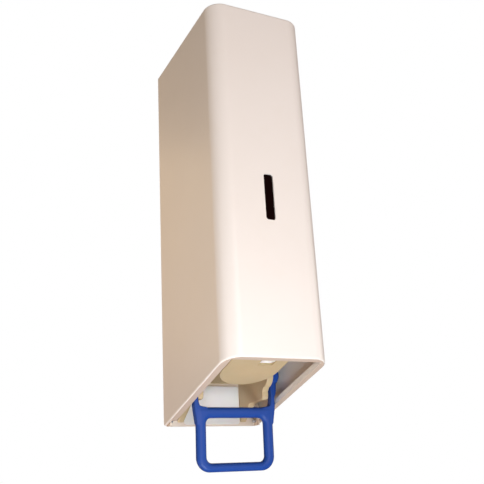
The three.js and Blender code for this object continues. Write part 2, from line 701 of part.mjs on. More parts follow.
function makeTray() {
  const inner = TRAY_HALF_WIDTH - TRAY_SHEET;
  const wallTop = SHELF_HEIGHT - FIT;
  const outer = planPrism(trayPlan(TRAY_HALF_WIDTH, TRAY_FRONT), 0, wallTop, 16);
  const hollow = planPrism(trayPlan(inner, TRAY_FRONT + 1), 0, HEIGHT, 16);
  const floor = outer.intersect(rimSlab(TRAY_RIM_GAP, TRAY_RIM_GAP + TRAY_SHEET));
  const wall = cut(outer, hollow);
  const curb = wall.intersect(rimSlab(TRAY_RIM_GAP, TRAY_RIM_GAP + TRAY_CURB));
  const sideRun = box(-WIDTH, WIDTH, TRAY_STRAIGHT, TRAY_FRONT, 0, HEIGHT);
  const sides = cut(wall.intersect(sideRun), rimSlab(-HEIGHT, TRAY_RIM_GAP));
  const window = box(
    OUTLET_OFFSET - WINDOW_WIDTH / 2,
    OUTLET_OFFSET + WINDOW_WIDTH / 2,
    OUTLET_DEPTH - WINDOW_LENGTH / 2,
    OUTLET_DEPTH + WINDOW_LENGTH / 2,
    0,
    SPOUT_BOTTOM + 2 * TRAY_SHEET + 3,
  );
  return cut(
    join(floor, curb, sides),
    window,
    barX(SCREW_RADIUS + FIT, -WIDTH, WIDTH, TRAY_SCREW_DEPTH, SHELF_HEIGHT - RIB_DROP / 2, 16),
  );
}

// ---- Pump ---------------------------------------------------------------------------------------

function makePumpBody() {
  const blockFront = BARREL_END + OUTLET_BLOCK_LENGTH;
  const blockLow = PUMP_HEIGHT - OUTLET_BLOCK_HEIGHT / 2;
  const barrel = barY(BARREL_RADIUS, BARREL_START, BARREL_END, 0, PUMP_HEIGHT, 32);
  const inlet = barZ(INLET_RADIUS, PUMP_HEIGHT, PUMP_FLANGE_TOP, 0, NECK_DEPTH, 32);
  const flange = barZ(
    NECK_RADIUS - FIT,
    PUMP_FLANGE_BOTTOM,
    PUMP_FLANGE_TOP,
    0,
    NECK_DEPTH,
    32,
  );
  const block = box(
    -OUTLET_BLOCK_HALF,
    OUTLET_OFFSET + SPOUT_WIDTH / 2,
    BARREL_END - 1,
    blockFront,
    blockLow,
    blockLow + OUTLET_BLOCK_HEIGHT,
  );
  return cut(
    join(barrel, inlet, flange, block),
    barY(BORE_RADIUS, 0, BARREL_FLOOR_START, 0, PUMP_HEIGHT, 32),
    barY(OUTLET_BORE, BARREL_FLOOR_START - 1, OUTLET_DEPTH, 0, PUMP_HEIGHT, 16),
    barX(OUTLET_BORE, 0, OUTLET_OFFSET, OUTLET_DEPTH, PUMP_HEIGHT, 16),
    barZ(OUTLET_BORE, 0, PUMP_HEIGHT, OUTLET_OFFSET, OUTLET_DEPTH, 16),
    barZ(INLET_BORE, PUMP_HEIGHT, HEIGHT, 0, NECK_DEPTH, 16),
    barZ(BALL_CHAMBER, BALL_SEAT, PUMP_FLANGE_TOP - 1.2, 0, NECK_DEPTH, 24),
  );
}

function makeBall() {
  const rise = Math.sqrt(BALL_RADIUS ** 2 - INLET_BORE ** 2);
  const geometry = new THREE.SphereGeometry(BALL_RADIUS, 14, 8);
  return solid(geometry.translate(0, -NECK_DEPTH, BALL_SEAT + rise + 0.1));
}

// Plunger: a push cap behind the barrel, a rod, and a piston head with a groove for its seal.
function makePlunger() {
  const head = BORE_RADIUS - RUNNING;
  const grooveStart = PISTON_START + (PISTON_LENGTH - SEAL_LENGTH) / 2;
  const pistonEnd = PISTON_START + PISTON_LENGTH;
  return join(
    barY(PUSH_CAP_RADIUS, PUSH_CAP_START, PUSH_CAP_START + PUSH_CAP_LENGTH, 0, PUMP_HEIGHT, 28),
    barY(ROD_RADIUS, PUSH_CAP_START, PISTON_START + 1, 0, PUMP_HEIGHT, 24),
    barY(head, PISTON_START, grooveStart, 0, PUMP_HEIGHT, 32),
    barY(head - SEAL_DEPTH, PISTON_START, pistonEnd, 0, PUMP_HEIGHT, 32),
    barY(head, grooveStart + SEAL_LENGTH, pistonEnd, 0, PUMP_HEIGHT, 32),
  );
}

function makePistonSeal() {
  const start = PISTON_START + (PISTON_LENGTH - SEAL_LENGTH) / 2 + 0.1;
  const end = start + SEAL_LENGTH - 0.2;
  return cut(
    barY(BORE_RADIUS - RUNNING / 2, start, end, 0, PUMP_HEIGHT, 32),
    barY(BORE_RADIUS - RUNNING - SEAL_DEPTH + 0.1, 0, DEPTH, 0, PUMP_HEIGHT, 32),
  );
}

// Return spring between the piston and the closed end of the barrel.
class Helix extends THREE.Curve {
  constructor(start, end) {
    super();
    this.start = start;
    this.end = end;
  }

  getPoint(t, target = new THREE.Vector3()) {
    const angle = 2 * Math.PI * SPRING_TURNS * t;
    const depth = this.start + (this.end - this.start) * t;
    return target.set(
      SPRING_RADIUS * Math.cos(angle),
      -depth,
      PUMP_HEIGHT + SPRING_RADIUS * Math.sin(angle),
    );
  }
}

function makeSpring() {
  const room = SPRING_WIRE + FIT;
  const path = new Helix(PISTON_START + PISTON_LENGTH + room, BARREL_FLOOR_START - room);
  const section = new THREE.Shape();
  section.absarc(0, 0, SPRING_WIRE, 0, 2 * Math.PI);
  return solid(
    new THREE.ExtrudeGeometry(section, {
      extrudePath: path,
      steps: SPRING_TURNS * 14,
      curveSegments: 3,
    }),
  );
}

// Rubber outlet valve in the mouth of the spout.
const makeOutletValve = () => {
  const top = PUMP_HEIGHT - OUTLET_BLOCK_HEIGHT / 2 - FIT;
  return turned(
    [
      [1.2, top - 5],
      [SPOUT_BORE - 0.1, top - 2],
      [SPOUT_BORE - 0.1, top - FIT],
      [1.2, top - FIT],
    ],
    OUTLET_OFFSET,
    OUTLET_DEPTH,
    20,
  );
};

function makeSpout() {
  const top = PUMP_HEIGHT - OUTLET_BLOCK_HEIGHT / 2 - FIT;
  const shape = roundedRectangle(
    OUTLET_OFFSET - SPOUT_WIDTH / 2,
    OUTLET_OFFSET + SPOUT_WIDTH / 2,
    -OUTLET_DEPTH - SPOUT_LENGTH / 2,
    -OUTLET_DEPTH + SPOUT_LENGTH / 2,
    1.5,
  );
  return cut(
    planPrism(shape, SPOUT_BOTTOM, top),
    barZ(SPOUT_BORE, 0, HEIGHT, OUTLET_OFFSET, OUTLET_DEPTH, 20),
  );
}

// ---- Bottle -------------------------------------------------------------------------------------

function makeBottle() {
  const bottom = SHELF_HEIGHT + SHELF_SHEET + FIT;
  const plan = (inset) =>
    roundedRectangle(
      -BOTTLE_HALF_WIDTH + inset,
      BOTTLE_HALF_WIDTH - inset,
      -BOTTLE_FRONT + inset,
      -BOTTLE_BACK - inset,
      BOTTLE_RADIUS - inset,
    );
  const round = (inset, z) => [plan(inset), z];
  const layers = [
    round(BOTTLE_SHOULDER, bottom),
    round(BOTTLE_SHOULDER * 0.4, bottom + BOTTLE_SHOULDER * 0.4),
    round(0, bottom + BOTTLE_SHOULDER),
  ];
  const tops = [BOTTLE_TOP, BOTTLE_TOP - BOTTLE_SHOULDER * 0.4, BOTTLE_TOP - BOTTLE_SHOULDER];
  const body = layers.map(([outline, low], i) => planPrism(outline, low, tops[i]));
  return cut(
    join(...body, barZ(NECK_RADIUS, NECK_END, bottom + 1, 0, NECK_DEPTH, 40)),
    barZ(NECK_BORE, 0, NECK_END + NECK_BORE_DEPTH, 0, NECK_DEPTH, 32),
  );
}

function makeCap() {
  const sleeve = NECK_RADIUS + FIT;
  const ribs = Array.from({ length: 12 }, (_, i) => {
    const angle = (i * Math.PI) / 6;
    return barZ(
      1,
      CAP_BOTTOM + 1,
      CAP_TOP - 1,
      CAP_RADIUS * Math.cos(angle),
      NECK_DEPTH + CAP_RADIUS * Math.sin(angle),
      8,
    );
  });
  const cup = turned(
    [
      [INLET_RADIUS + FIT, CAP_BOTTOM],
      [CAP_RADIUS, CAP_BOTTOM],
      [CAP_RADIUS, CAP_TOP],
      [sleeve, CAP_TOP],
      [sleeve, CAP_BOTTOM + CAP_FLOOR],
      [INLET_RADIUS + FIT, CAP_BOTTOM + CAP_FLOOR],
    ],
    0,
    NECK_DEPTH,
    48,
  );
  return join(cup, ...ribs);
}

const makeGasket = () => {
  const low = PUMP_FLANGE_TOP + GASKET_GAP;
  return turned(
    [
      [INLET_BORE + 2, low],
      [NECK_RADIUS - FIT, low],
      [NECK_RADIUS - FIT, low + GASKET],
      [INLET_BORE + 2, low + GASKET],
    ],
    0,
    NECK_DEPTH,
  );
};

// ---- Lever --------------------------------------------------------------------------------------

// The ring's front outline about the pivot, with the finger opening in it.
function ringOutline() {
  const outer = RING_HALF_WIDTH;
  const inner = outer - RING_SIDE_BAR;
  const outline = new THREE.Shape();
  const low = -RING_BOTTOM + RING_CORNER;
  outline.absarc(-outer + RING_CORNER, low, RING_CORNER, Math.PI, 1.5 * Math.PI);
  outline.absarc(outer - RING_CORNER, low, RING_CORNER, -Math.PI / 2, 0);
  outline.lineTo(outer, -RING_TOP);
  outline.lineTo(-outer, -RING_TOP);
  outline.holes.push(
    roundedRectangle(
      -inner,
      inner,
      -RING_BOTTOM + RING_BOTTOM_BAR,
      -RING_TOP - RING_TOP_BAR,
      RING_INNER_CORNER,
      THREE.Path,
    ),
  );
  return outline;
}

// One arm's front outline: it grows out of the ring's shoulder, passes the cover's rim, and spreads
// to stand outside the cheek and run on up to the presser bar.
function armOutline(side) {
  const top = PRESSER_RISE + PRESSER_RADIUS;
  const root = -RING_TOP - RING_TOP_BAR;
  const points = [
    [RING_HALF_WIDTH - RING_SIDE_BAR + 1, root + 3],
    [RING_HALF_WIDTH - 2, root - 5],
    [RING_HALF_WIDTH, root - 5],
    [RIM_PASS, -RING_TOP],
    [RIM_PASS, -ARM_FLARE_BOTTOM],
    [ARM_OUTER, -ARM_FLARE_TOP],
    [ARM_OUTER, top - 2],
    [ARM_OUTER - 2, top],
    [ARM_INNER, top],
    [ARM_INNER, -ARM_FLARE_BOTTOM],
    [ARM_INNER - 3, -RING_TOP + 2.5],
    [RING_HALF_WIDTH - RING_SIDE_BAR - 3, -RING_TOP],
  ];
  return new THREE.Shape(points.map(([x, z]) => new THREE.Vector2(side * x, z)));
}

function makeLever() {
  const half = LEVER_THICKNESS / 2;
  const armHalf = ARM_THICKNESS / 2;
  const sides = [-1, 1];
  const arms = sides.map((side) => frontPrism(armOutline(side), -armHalf, armHalf));
  const bosses = sides.map((side) => {
    const x0 = side > 0 ? ARM_INNER : -ARM_OUTER;
    return barX(BOSS_RADIUS, x0, x0 + ARM_WIDTH, 0, 0, 24);
  });
  const ring = frontPrism(ringOutline(), -half, half, LEVER_ROUNDING, 6);
  const reach = ARM_OUTER - 1;
  return cut(
    join(ring, ...arms, ...bosses, barX(PRESSER_RADIUS, -reach, reach, 0, PRESSER_RISE, 24)),
    barX(PIN_RADIUS + RUNNING, -WIDTH, WIDTH, 0, 0, 32),
  );
}

// ---- Assembly -----------------------------------------------------------------------------------

const base = new THREE.Group();
const cover = new THREE.Group();
const lock = new THREE.Group();
const lever = new THREE.Group();
const plunger = new THREE.Group();

base.add(
  piece("back_plate", makeBackPlate(), platePaint),
  piece("blank_panel", makePanel(), whitePlastic),
  piece("chassis", makeChassis(), beigePlastic),
  piece("outlet_tray", makeTray(), beigePlastic),
  piece("bottle", makeBottle(), bottlePlastic),
  piece("bottle_cap", makeCap(), whitePlastic),
  piece("neck_gasket", makeGasket(), rubber),
  piece("pump_body", makePumpBody(), whitePlastic),
  piece("inlet_ball", makeBall(), steel),
  piece("return_spring", makeSpring(), steel),
  piece("outlet_valve", makeOutletValve(), rubber),
  piece("spout", makeSpout(), whitePlastic),
);
plunger.add(
  piece("plunger", makePlunger(), whitePlastic),
  piece("piston_seal", makePistonSeal(), rubber),
);

const chassisScrewSeat = WEB_FRONT + FIT;
CHASSIS_SCREW_HEIGHTS.forEach((z, row) => {
  [-1, 1].forEach((side) => {
    const name = `chassis_screw_${row ? "upper" : "lower"}_${side > 0 ? "right" : "left"}`;
    const screw = piece(name, makeScrew(chassisScrewSeat - 0.3), steel);
    screw.position.set(side * CHASSIS_SCREW_X, -chassisScrewSeat, z);
    base.add(screw);
  });
});

[-1, 1].forEach((side) => {
  const hand = side > 0 ? "right" : "left";
  const trayScrew = piece(`tray_screw_${hand}`, makeScrew(RIB_SHEET + TRAY_SHEET), steel);
  const ribFace = TRAY_HALF_WIDTH + FIT + RIB_SHEET + FIT;
  trayScrew.rotation.z = (side * Math.PI) / 2;
  trayScrew.position.set(side * ribFace, -TRAY_SCREW_DEPTH, SHELF_HEIGHT - RIB_DROP / 2);

  const turn = side > 0 ? 0 : Math.PI;
  const pin = piece(`pivot_pin_${hand}`, makePivotPin(), steel);
  const clip = piece(`pivot_clip_${hand}`, makePivotClip(), steel);
  [pin, clip].forEach((one) => {
    one.rotation.z = turn;
    one.position.set(0, -PIVOT_DEPTH, PIVOT_HEIGHT);
  });
  base.add(trayScrew, pin, clip);

  const stud = piece(`hinge_pin_${hand}`, makeHingePin(), steel);
  const studStart = side > 0 ? INSIDE - HINGE_PIN_LENGTH : -INSIDE;
  stud.position.set(studStart, -HINGE_DEPTH, HINGE_HEIGHT);
  cover.add(stud);
});

cover.add(
  piece("cover", makeCover(), coverPaint),
  piece("sight_lens", makeLens(), smokedPlastic),
  piece("lock_housing", makeLockHousing(), steel),
  piece("lock_nut", makeLockNut(), steel),
);

const camScrew = piece("cam_screw", makeScrew(CAM_SCREW_LENGTH), steel);
camScrew.rotation.x = Math.PI / 2;
camScrew.position.set(0, -LOCK_DEPTH, CAM_TOP - 2 * FIT - CAM_SHEET);
lock.add(
  piece("lock_plug", makeLockPlug(), steel),
  piece("lock_cam", makeLockCam(), steel),
  camScrew,
);

lever.add(piece("lever", makeLever(), bluePlastic));
lever.position.set(0, -PIVOT_DEPTH, PIVOT_HEIGHT);
lever.rotation.x = TILT;

const dispenser = new THREE.Group();
dispenser.position.z = -DATUM_HEIGHT;
cover.add(lock);
dispenser.add(base, plunger, lever, cover);

export default dispenser;
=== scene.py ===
"""Wall soap dispenser with a hanging ring lever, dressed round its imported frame.

The wall is the plane y = 0, the user stands at -Y and +Z is up. Sizes in the classes are in
millimetres; show() turns each finished mesh into metres in the frame's own coordinates.
"""

import logging  # noqa: E402
import math  # noqa: E402
from dataclasses import dataclass, field  # noqa: E402
from enum import Enum  # noqa: E402
from typing import Any, Callable, NamedTuple, Optional, Sequence, Union  # noqa: E402

import bmesh  # noqa: E402
import bpy  # noqa: E402
from mathutils import Matrix, Vector  # noqa: E402


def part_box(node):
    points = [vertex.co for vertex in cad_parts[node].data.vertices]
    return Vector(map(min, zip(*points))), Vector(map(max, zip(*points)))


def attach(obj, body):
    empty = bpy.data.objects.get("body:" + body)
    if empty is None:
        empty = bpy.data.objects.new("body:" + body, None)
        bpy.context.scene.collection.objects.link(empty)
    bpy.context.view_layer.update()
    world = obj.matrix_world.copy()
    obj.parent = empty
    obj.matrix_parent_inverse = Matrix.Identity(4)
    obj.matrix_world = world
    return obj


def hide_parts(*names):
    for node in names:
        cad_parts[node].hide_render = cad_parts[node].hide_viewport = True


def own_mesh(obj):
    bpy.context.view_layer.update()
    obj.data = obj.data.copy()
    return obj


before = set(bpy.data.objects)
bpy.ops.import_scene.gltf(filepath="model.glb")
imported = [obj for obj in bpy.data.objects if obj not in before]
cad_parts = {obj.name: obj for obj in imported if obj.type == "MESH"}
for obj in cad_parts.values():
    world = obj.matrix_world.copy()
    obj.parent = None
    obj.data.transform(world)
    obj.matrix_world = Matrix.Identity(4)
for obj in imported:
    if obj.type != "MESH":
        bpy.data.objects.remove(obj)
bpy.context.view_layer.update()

log = logging.getLogger("dispenser")

MM = 0.001
FAR = 400.0  # beyond the object in any direction
SIDES = ((-1, "left"), (1, "right"))
PLATE_SCREWS = ("upper_left", "upper_right", "lower_left", "lower_right")
SCREW_HEAD = 2.5  # height of every screw's head
PAST = 5.0  # how far a cutter stands out of what it cuts
MERGE = 1e-4  # points nearer than this are one point
IN_PLANE = 0.02  # an edge nearer a plane than this lies in it
PLANE_CORNER = 0.3  # radians; a flatter edge in a plane is left alone
SHARP_CORNER = 0.52  # radians, or 30 degrees
FLAT = math.radians(0.2)  # faces that turn less than this become one

Point = tuple[float, float]
Outline = list[Point]
EdgeTest = Callable[[bmesh.types.BMEdge], bool]


# ---- Outlines ------------------------------------------------------------------------------------


class Axis(Enum):
    """Direction that an outline is drawn out along, or that a profile turns about."""

    X = "x"
    Y = "y"
    Z = "z"

    def place(self, u: float, v: float, along: float) -> Vector:
        """The point at (u, v) in the outline's plane and `along` this axis.

        Args:
            u: first coordinate in the outline's plane.
            v: second coordinate in that plane.
            along: distance along this axis.

        Returns:
            The point.
        """
        if self is Axis.X:
            return Vector((along, u, v))
        if self is Axis.Y:
            return Vector((u, along, v))
        return Vector((u, v, along))


def arc(centre: Point, radius: float, start: float, end: float, steps: int) -> Outline:
    """Points along an arc, both ends included.

    Args:
        centre: middle of the arc.
        radius: its radius.
        start: first angle, in degrees.
        end: last angle, in degrees.
        steps: number of chords.

    Returns:
        The points in order.
    """
    turns = [math.radians(start + (end - start) * k / steps) for k in range(steps + 1)]
    return [(centre[0] + radius * math.cos(t), centre[1] + radius * math.sin(t)) for t in turns]


def circle(centre: Point, radius: float, steps: int = 48) -> Outline:
    """A full circle of `steps` chords."""
    return arc(centre, radius, 0, 360 * (1 - 1 / steps), steps - 1)


def rectangle(u0: float, u1: float, v0: float, v1: float) -> Outline:
    """The four corners of a rectangle."""
    return [(u0, v0), (u1, v0), (u1, v1), (u0, v1)]


def filleted(
    points: Sequence[Point], radii: Union[float, Sequence[float]], steps: int = 8
) -> Outline:
    """A closed polygon with its corners rounded.

    Args:
        points: the polygon's corners.
        radii: one radius for all corners, or one for each; 0 leaves a corner sharp.
        steps: chords in each rounded corner.

    Returns:
        The rounded outline.
    """
    each = list(radii) if isinstance(radii, (list, tuple)) else [radii] * len(points)
    outline: Outline = []
    for i, radius in enumerate(each):
        corner = Vector(points[i])
        before = Vector(points[i - 1]) - corner
        after = Vector(points[(i + 1) % len(points)]) - corner
        half = before.angle(after) / 2
        if radius <= 0 or half > math.radians(89.5):
            outline.append((corner.x, corner.y))
            continue
        reach = min(radius / math.tan(half), 0.49 * before.length, 0.49 * after.length)
        inset = reach * math.tan(half)
        inward = (before.normalized() + after.normalized()).normalized()
        centre = corner + inward * (inset / math.sin(half))
        first = corner + before.normalized() * reach - centre
        last = corner + after.normalized() * reach - centre
        turn = math.atan2(first.cross(last), first.dot(last))
        for k in range(steps + 1):
            step = Matrix.Rotation(turn * k / steps, 2) @ first
            outline.append((centre.x + step.x, centre.y + step.y))
    return outline


def mirrored(outline: Outline, side: int) -> Outline:
    """The outline itself for side 1, or flipped in u for side -1."""
    return [(side * u, v) for u, v in outline]


# ---- Solids --------------------------------------------------------------------------------------


class Combine(Enum):
    """How two solids are put together."""

    JOIN = "UNION"
    CUT = "DIFFERENCE"
    COMMON = "INTERSECT"


def on_plane(
    normal: Sequence[float], distance: float, unless: Optional[EdgeTest] = None
) -> EdgeTest:
    """A test for sharp edges that lie in a plane.

    Args:
        normal: the plane's normal, of any length.
        distance: normal . point for points in the plane.
        unless: edges that this test takes are left out.

    Returns:
        The test.
    """
    across = Vector(normal)

    def test(edge: bmesh.types.BMEdge) -> bool:
        """True for a sharp edge in the plane."""
        inside = all(abs(across.dot(v.co) - distance) < IN_PLANE for v in edge.verts)
        corner = edge.calc_face_angle(0.0) > PLANE_CORNER
        return inside and corner and not (unless and unless(edge))

    return test


def placed(name: str, data: Optional[bpy.types.ID]) -> bpy.types.Object:
    """A new object of the scene with the data given."""
    made = bpy.data.objects.new(name, data)
    bpy.context.scene.collection.objects.link(made)
    return made


def applied(host: bpy.types.Object) -> bpy.types.Mesh:
    """An object's mesh with its modifiers applied."""
    graph = bpy.context.evaluated_depsgraph_get()
    return bpy.data.meshes.new_from_object(host.evaluated_get(graph))


class Solid:
    """A closed mesh in millimetres that can be cut, joined, rounded and moved."""

    def __init__(self, mesh: bpy.types.Mesh) -> None:
        """Wraps a mesh.

        Args:
            mesh: a closed mesh in millimetres.
        """
        self.mesh = mesh

    @classmethod
    def from_faces(cls, corners: Sequence[Vector], faces: Sequence[Sequence[int]]) -> "Solid":
        """Makes a solid from points and faces, with doubled points merged.

        Args:
            corners: the points.
            faces: indices of each face's points.

        Returns:
            The solid, with its faces outwards.
        """
        work = bmesh.new()
        points = [work.verts.new(c) for c in corners]
        for face in faces:
            work.faces.new([points[i] for i in face])
        return cls._closed(work)

    @classmethod
    def _closed(cls, work: bmesh.types.BMesh) -> "Solid":
        """Merges doubled points, turns the faces outwards and frees the working mesh.

        Args:
            work: working mesh, which is freed.

        Returns:
            The solid.
        """
        bmesh.ops.remove_doubles(work, verts=work.verts, dist=MERGE)
        bmesh.ops.recalc_face_normals(work, faces=work.faces)
        mesh = bpy.data.meshes.new("work")
        work.to_mesh(mesh)
        work.free()
        return cls(mesh)

    @classmethod
    def drawn(
        cls, outline: Outline, axis: Axis, low: float, high: float, edge: float = 0.0
    ) -> "Solid":
        """An outline drawn out along an axis.

        Args:
            outline: closed outline in the plane across the axis.
            axis: direction of drawing.
            low: where it starts.
            high: where it ends.
            edge: radius of its sharp edges.

        Returns:
            The prism.
        """
        count = len(outline)
        corners = [axis.place(u, v, along) for along in (low, high) for u, v in outline]
        walls = [(i, (i + 1) % count, count + (i + 1) % count, count + i) for i in range(count)]
        made = cls.from_faces(corners, [range(count), range(count, 2 * count), *walls])
        return made.rounded(edge) if edge else made

    @classmethod
    def block(cls, low: Sequence[float], high: Sequence[float], edge: float = 0.0) -> "Solid":
        """A block between two corners, with rounded edges."""
        plan = rectangle(low[0], high[0], low[1], high[1])
        return cls.drawn(plan, Axis.Z, low[2], high[2], edge)

    @classmethod
    def bar(
        cls, axis: Axis, centre: Point, radius: float, low: float, high: float,
        edge: float = 0.0, steps: int = 40,
    ) -> "Solid":
        """A round bar, its ends rounded off by `edge`."""
        return cls.drawn(circle(centre, radius, steps), axis, low, high, edge)

    @classmethod
    def turned(
        cls, profile: Outline, axis: Axis, centre: Point, steps: int = 56, edge: float = 0.0
    ) -> "Solid":
        """A closed profile turned about an axis.

        Args:
            profile: (radius, along) points; a radius of 0 lies on the axis.
            axis: what it turns about.
            centre: the axis' place in the plane across it.
            steps: chords in a turn.
            edge: radius of the profile's corners.

        Returns:
            The turned solid.
        """
        shape = profile
        if edge:
            shape = filleted(profile, [edge if r > 0 else 0 for r, _ in profile], 3)
        count = len(shape)
        corners = []
        for k in range(steps):
            angle = 2 * math.pi * k / steps
            for radius, along in shape:
                u = centre[0] + radius * math.cos(angle)
                v = centre[1] + radius * math.sin(angle)
                corners.append(axis.place(u, v, along))
        work = bmesh.new()
        points = [work.verts.new(c) for c in corners]
        for k in range(steps):
            this, following = k * count, (k + 1) % steps * count
            for i in range(count):
                j = (i + 1) % count
                if shape[i][0] <= 0 and shape[j][0] <= 0:
                    continue
                corners_of = (this + i, this + j, following + j, following + i)
                work.faces.new([points[c] for c in corners_of])
        return cls._closed(work)

    @classmethod
    def lofted(cls, loops: Sequence[Sequence[Vector]]) -> "Solid":
        """Skins closed loops of equal length, the last one back to the first.

        Args:
            loops: closed loops with the same number of points.

        Returns:
            The closed skin.
        """
        count, rows = len(loops[0]), len(loops)
        corners = [point for loop in loops for point in loop]
        faces = []
        for row in range(rows):
            here, there = row * count, (row + 1) % rows * count
            for i in range(count):
                j = (i + 1) % count
                faces.append((here + i, here + j, there + j, there + i))
        return cls.from_faces(corners, faces)

    def _combined(self, others: Sequence["Solid"], how: Combine) -> "Solid":
        """This solid joined to, cut by or kept inside each of the others in turn.

        Args:
            others: solids to combine with, in turn.
            how: the way they combine.

        Returns:
            The result; it is never empty.
        """
        result = self.mesh
        for other in others:
            host, tool = placed("host", result), placed("tool", other.mesh)
            step = host.modifiers.new("combine", "BOOLEAN")
            step.operation, step.solver, step.object = how.value, "MANIFOLD", tool
            result = applied(host)
            for one in (host, tool):
                bpy.data.objects.remove(one)
            if not result.polygons:
                raise RuntimeError("a combination of two solids came out empty")
        return Solid(result)

    def joined(self, *others: "Solid") -> "Solid":
        """This solid and the others as one."""
        return self._combined(others, Combine.JOIN)

    def cut(self, *others: "Solid") -> "Solid":
        """This solid without the others."""
        return self._combined(others, Combine.CUT)

    def common(self, *others: "Solid") -> "Solid":
        """What this solid shares with the others."""
        return self._combined(others, Combine.COMMON)

    def rounded(self, radius: float, test: Optional[EdgeTest] = None, steps: int = 3) -> "Solid":
        """Rounds edges.

        Args:
            radius: of the rounding.
            test: takes the edges to round; left out, every edge over 30 degrees.
            steps: faces across the rounding.

        Returns:
            The rounded solid.
        """
        work = bmesh.new()
        work.from_mesh(self.mesh)
        bmesh.ops.remove_doubles(work, verts=work.verts, dist=MERGE)
        bmesh.ops.dissolve_limit(work, angle_limit=FLAT, verts=work.verts, edges=work.edges)
        chosen = test or (lambda edge: edge.calc_face_angle(0.0) > SHARP_CORNER)
        bmesh.ops.bevel(
            work, geom=[e for e in work.edges if chosen(e)], offset=radius, offset_type="OFFSET",
            segments=steps, profile=0.5, affect="EDGES", clamp_overlap=True,
        )
        return Solid._closed(work)

    def moved(self, matrix: Matrix) -> "Solid":
        """A copy moved by a matrix."""
        copy = self.mesh.copy()
        copy.transform(matrix)
        return Solid(copy)

    def moulded(self, voxel: float, passes: int) -> "Solid":
        """One skin over everything, with its inner corners filled as in a moulding.

        Args:
            voxel: size of the new faces.
            passes: rounds of smoothing.

        Returns:
            The moulded solid.
        """
        host = placed("host", self.mesh)
        skin = host.modifiers.new("skin", "REMESH")
        skin.mode, skin.voxel_size = "VOXEL", voxel
        soft = host.modifiers.new("soft", "SMOOTH")
        soft.factor, soft.iterations = 0.5, passes
        mesh = applied(host)
        bpy.data.objects.remove(host)
        return Solid(mesh)


def box_of(node: str) -> tuple[Vector, Vector]:
    """A node's lowest and highest corners in millimetres."""
    low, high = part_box(node)
    return low / MM, high / MM


def middle_of(node: str) -> Vector:
    """The middle of a node's box in millimetres."""
    low, high = box_of(node)
    return (low + high) / 2


# ---- Finishes ------------------------------------------------------------------------------------

Colour = tuple[float, float, float]
Value = Union[float, Colour, bpy.types.NodeSocket]


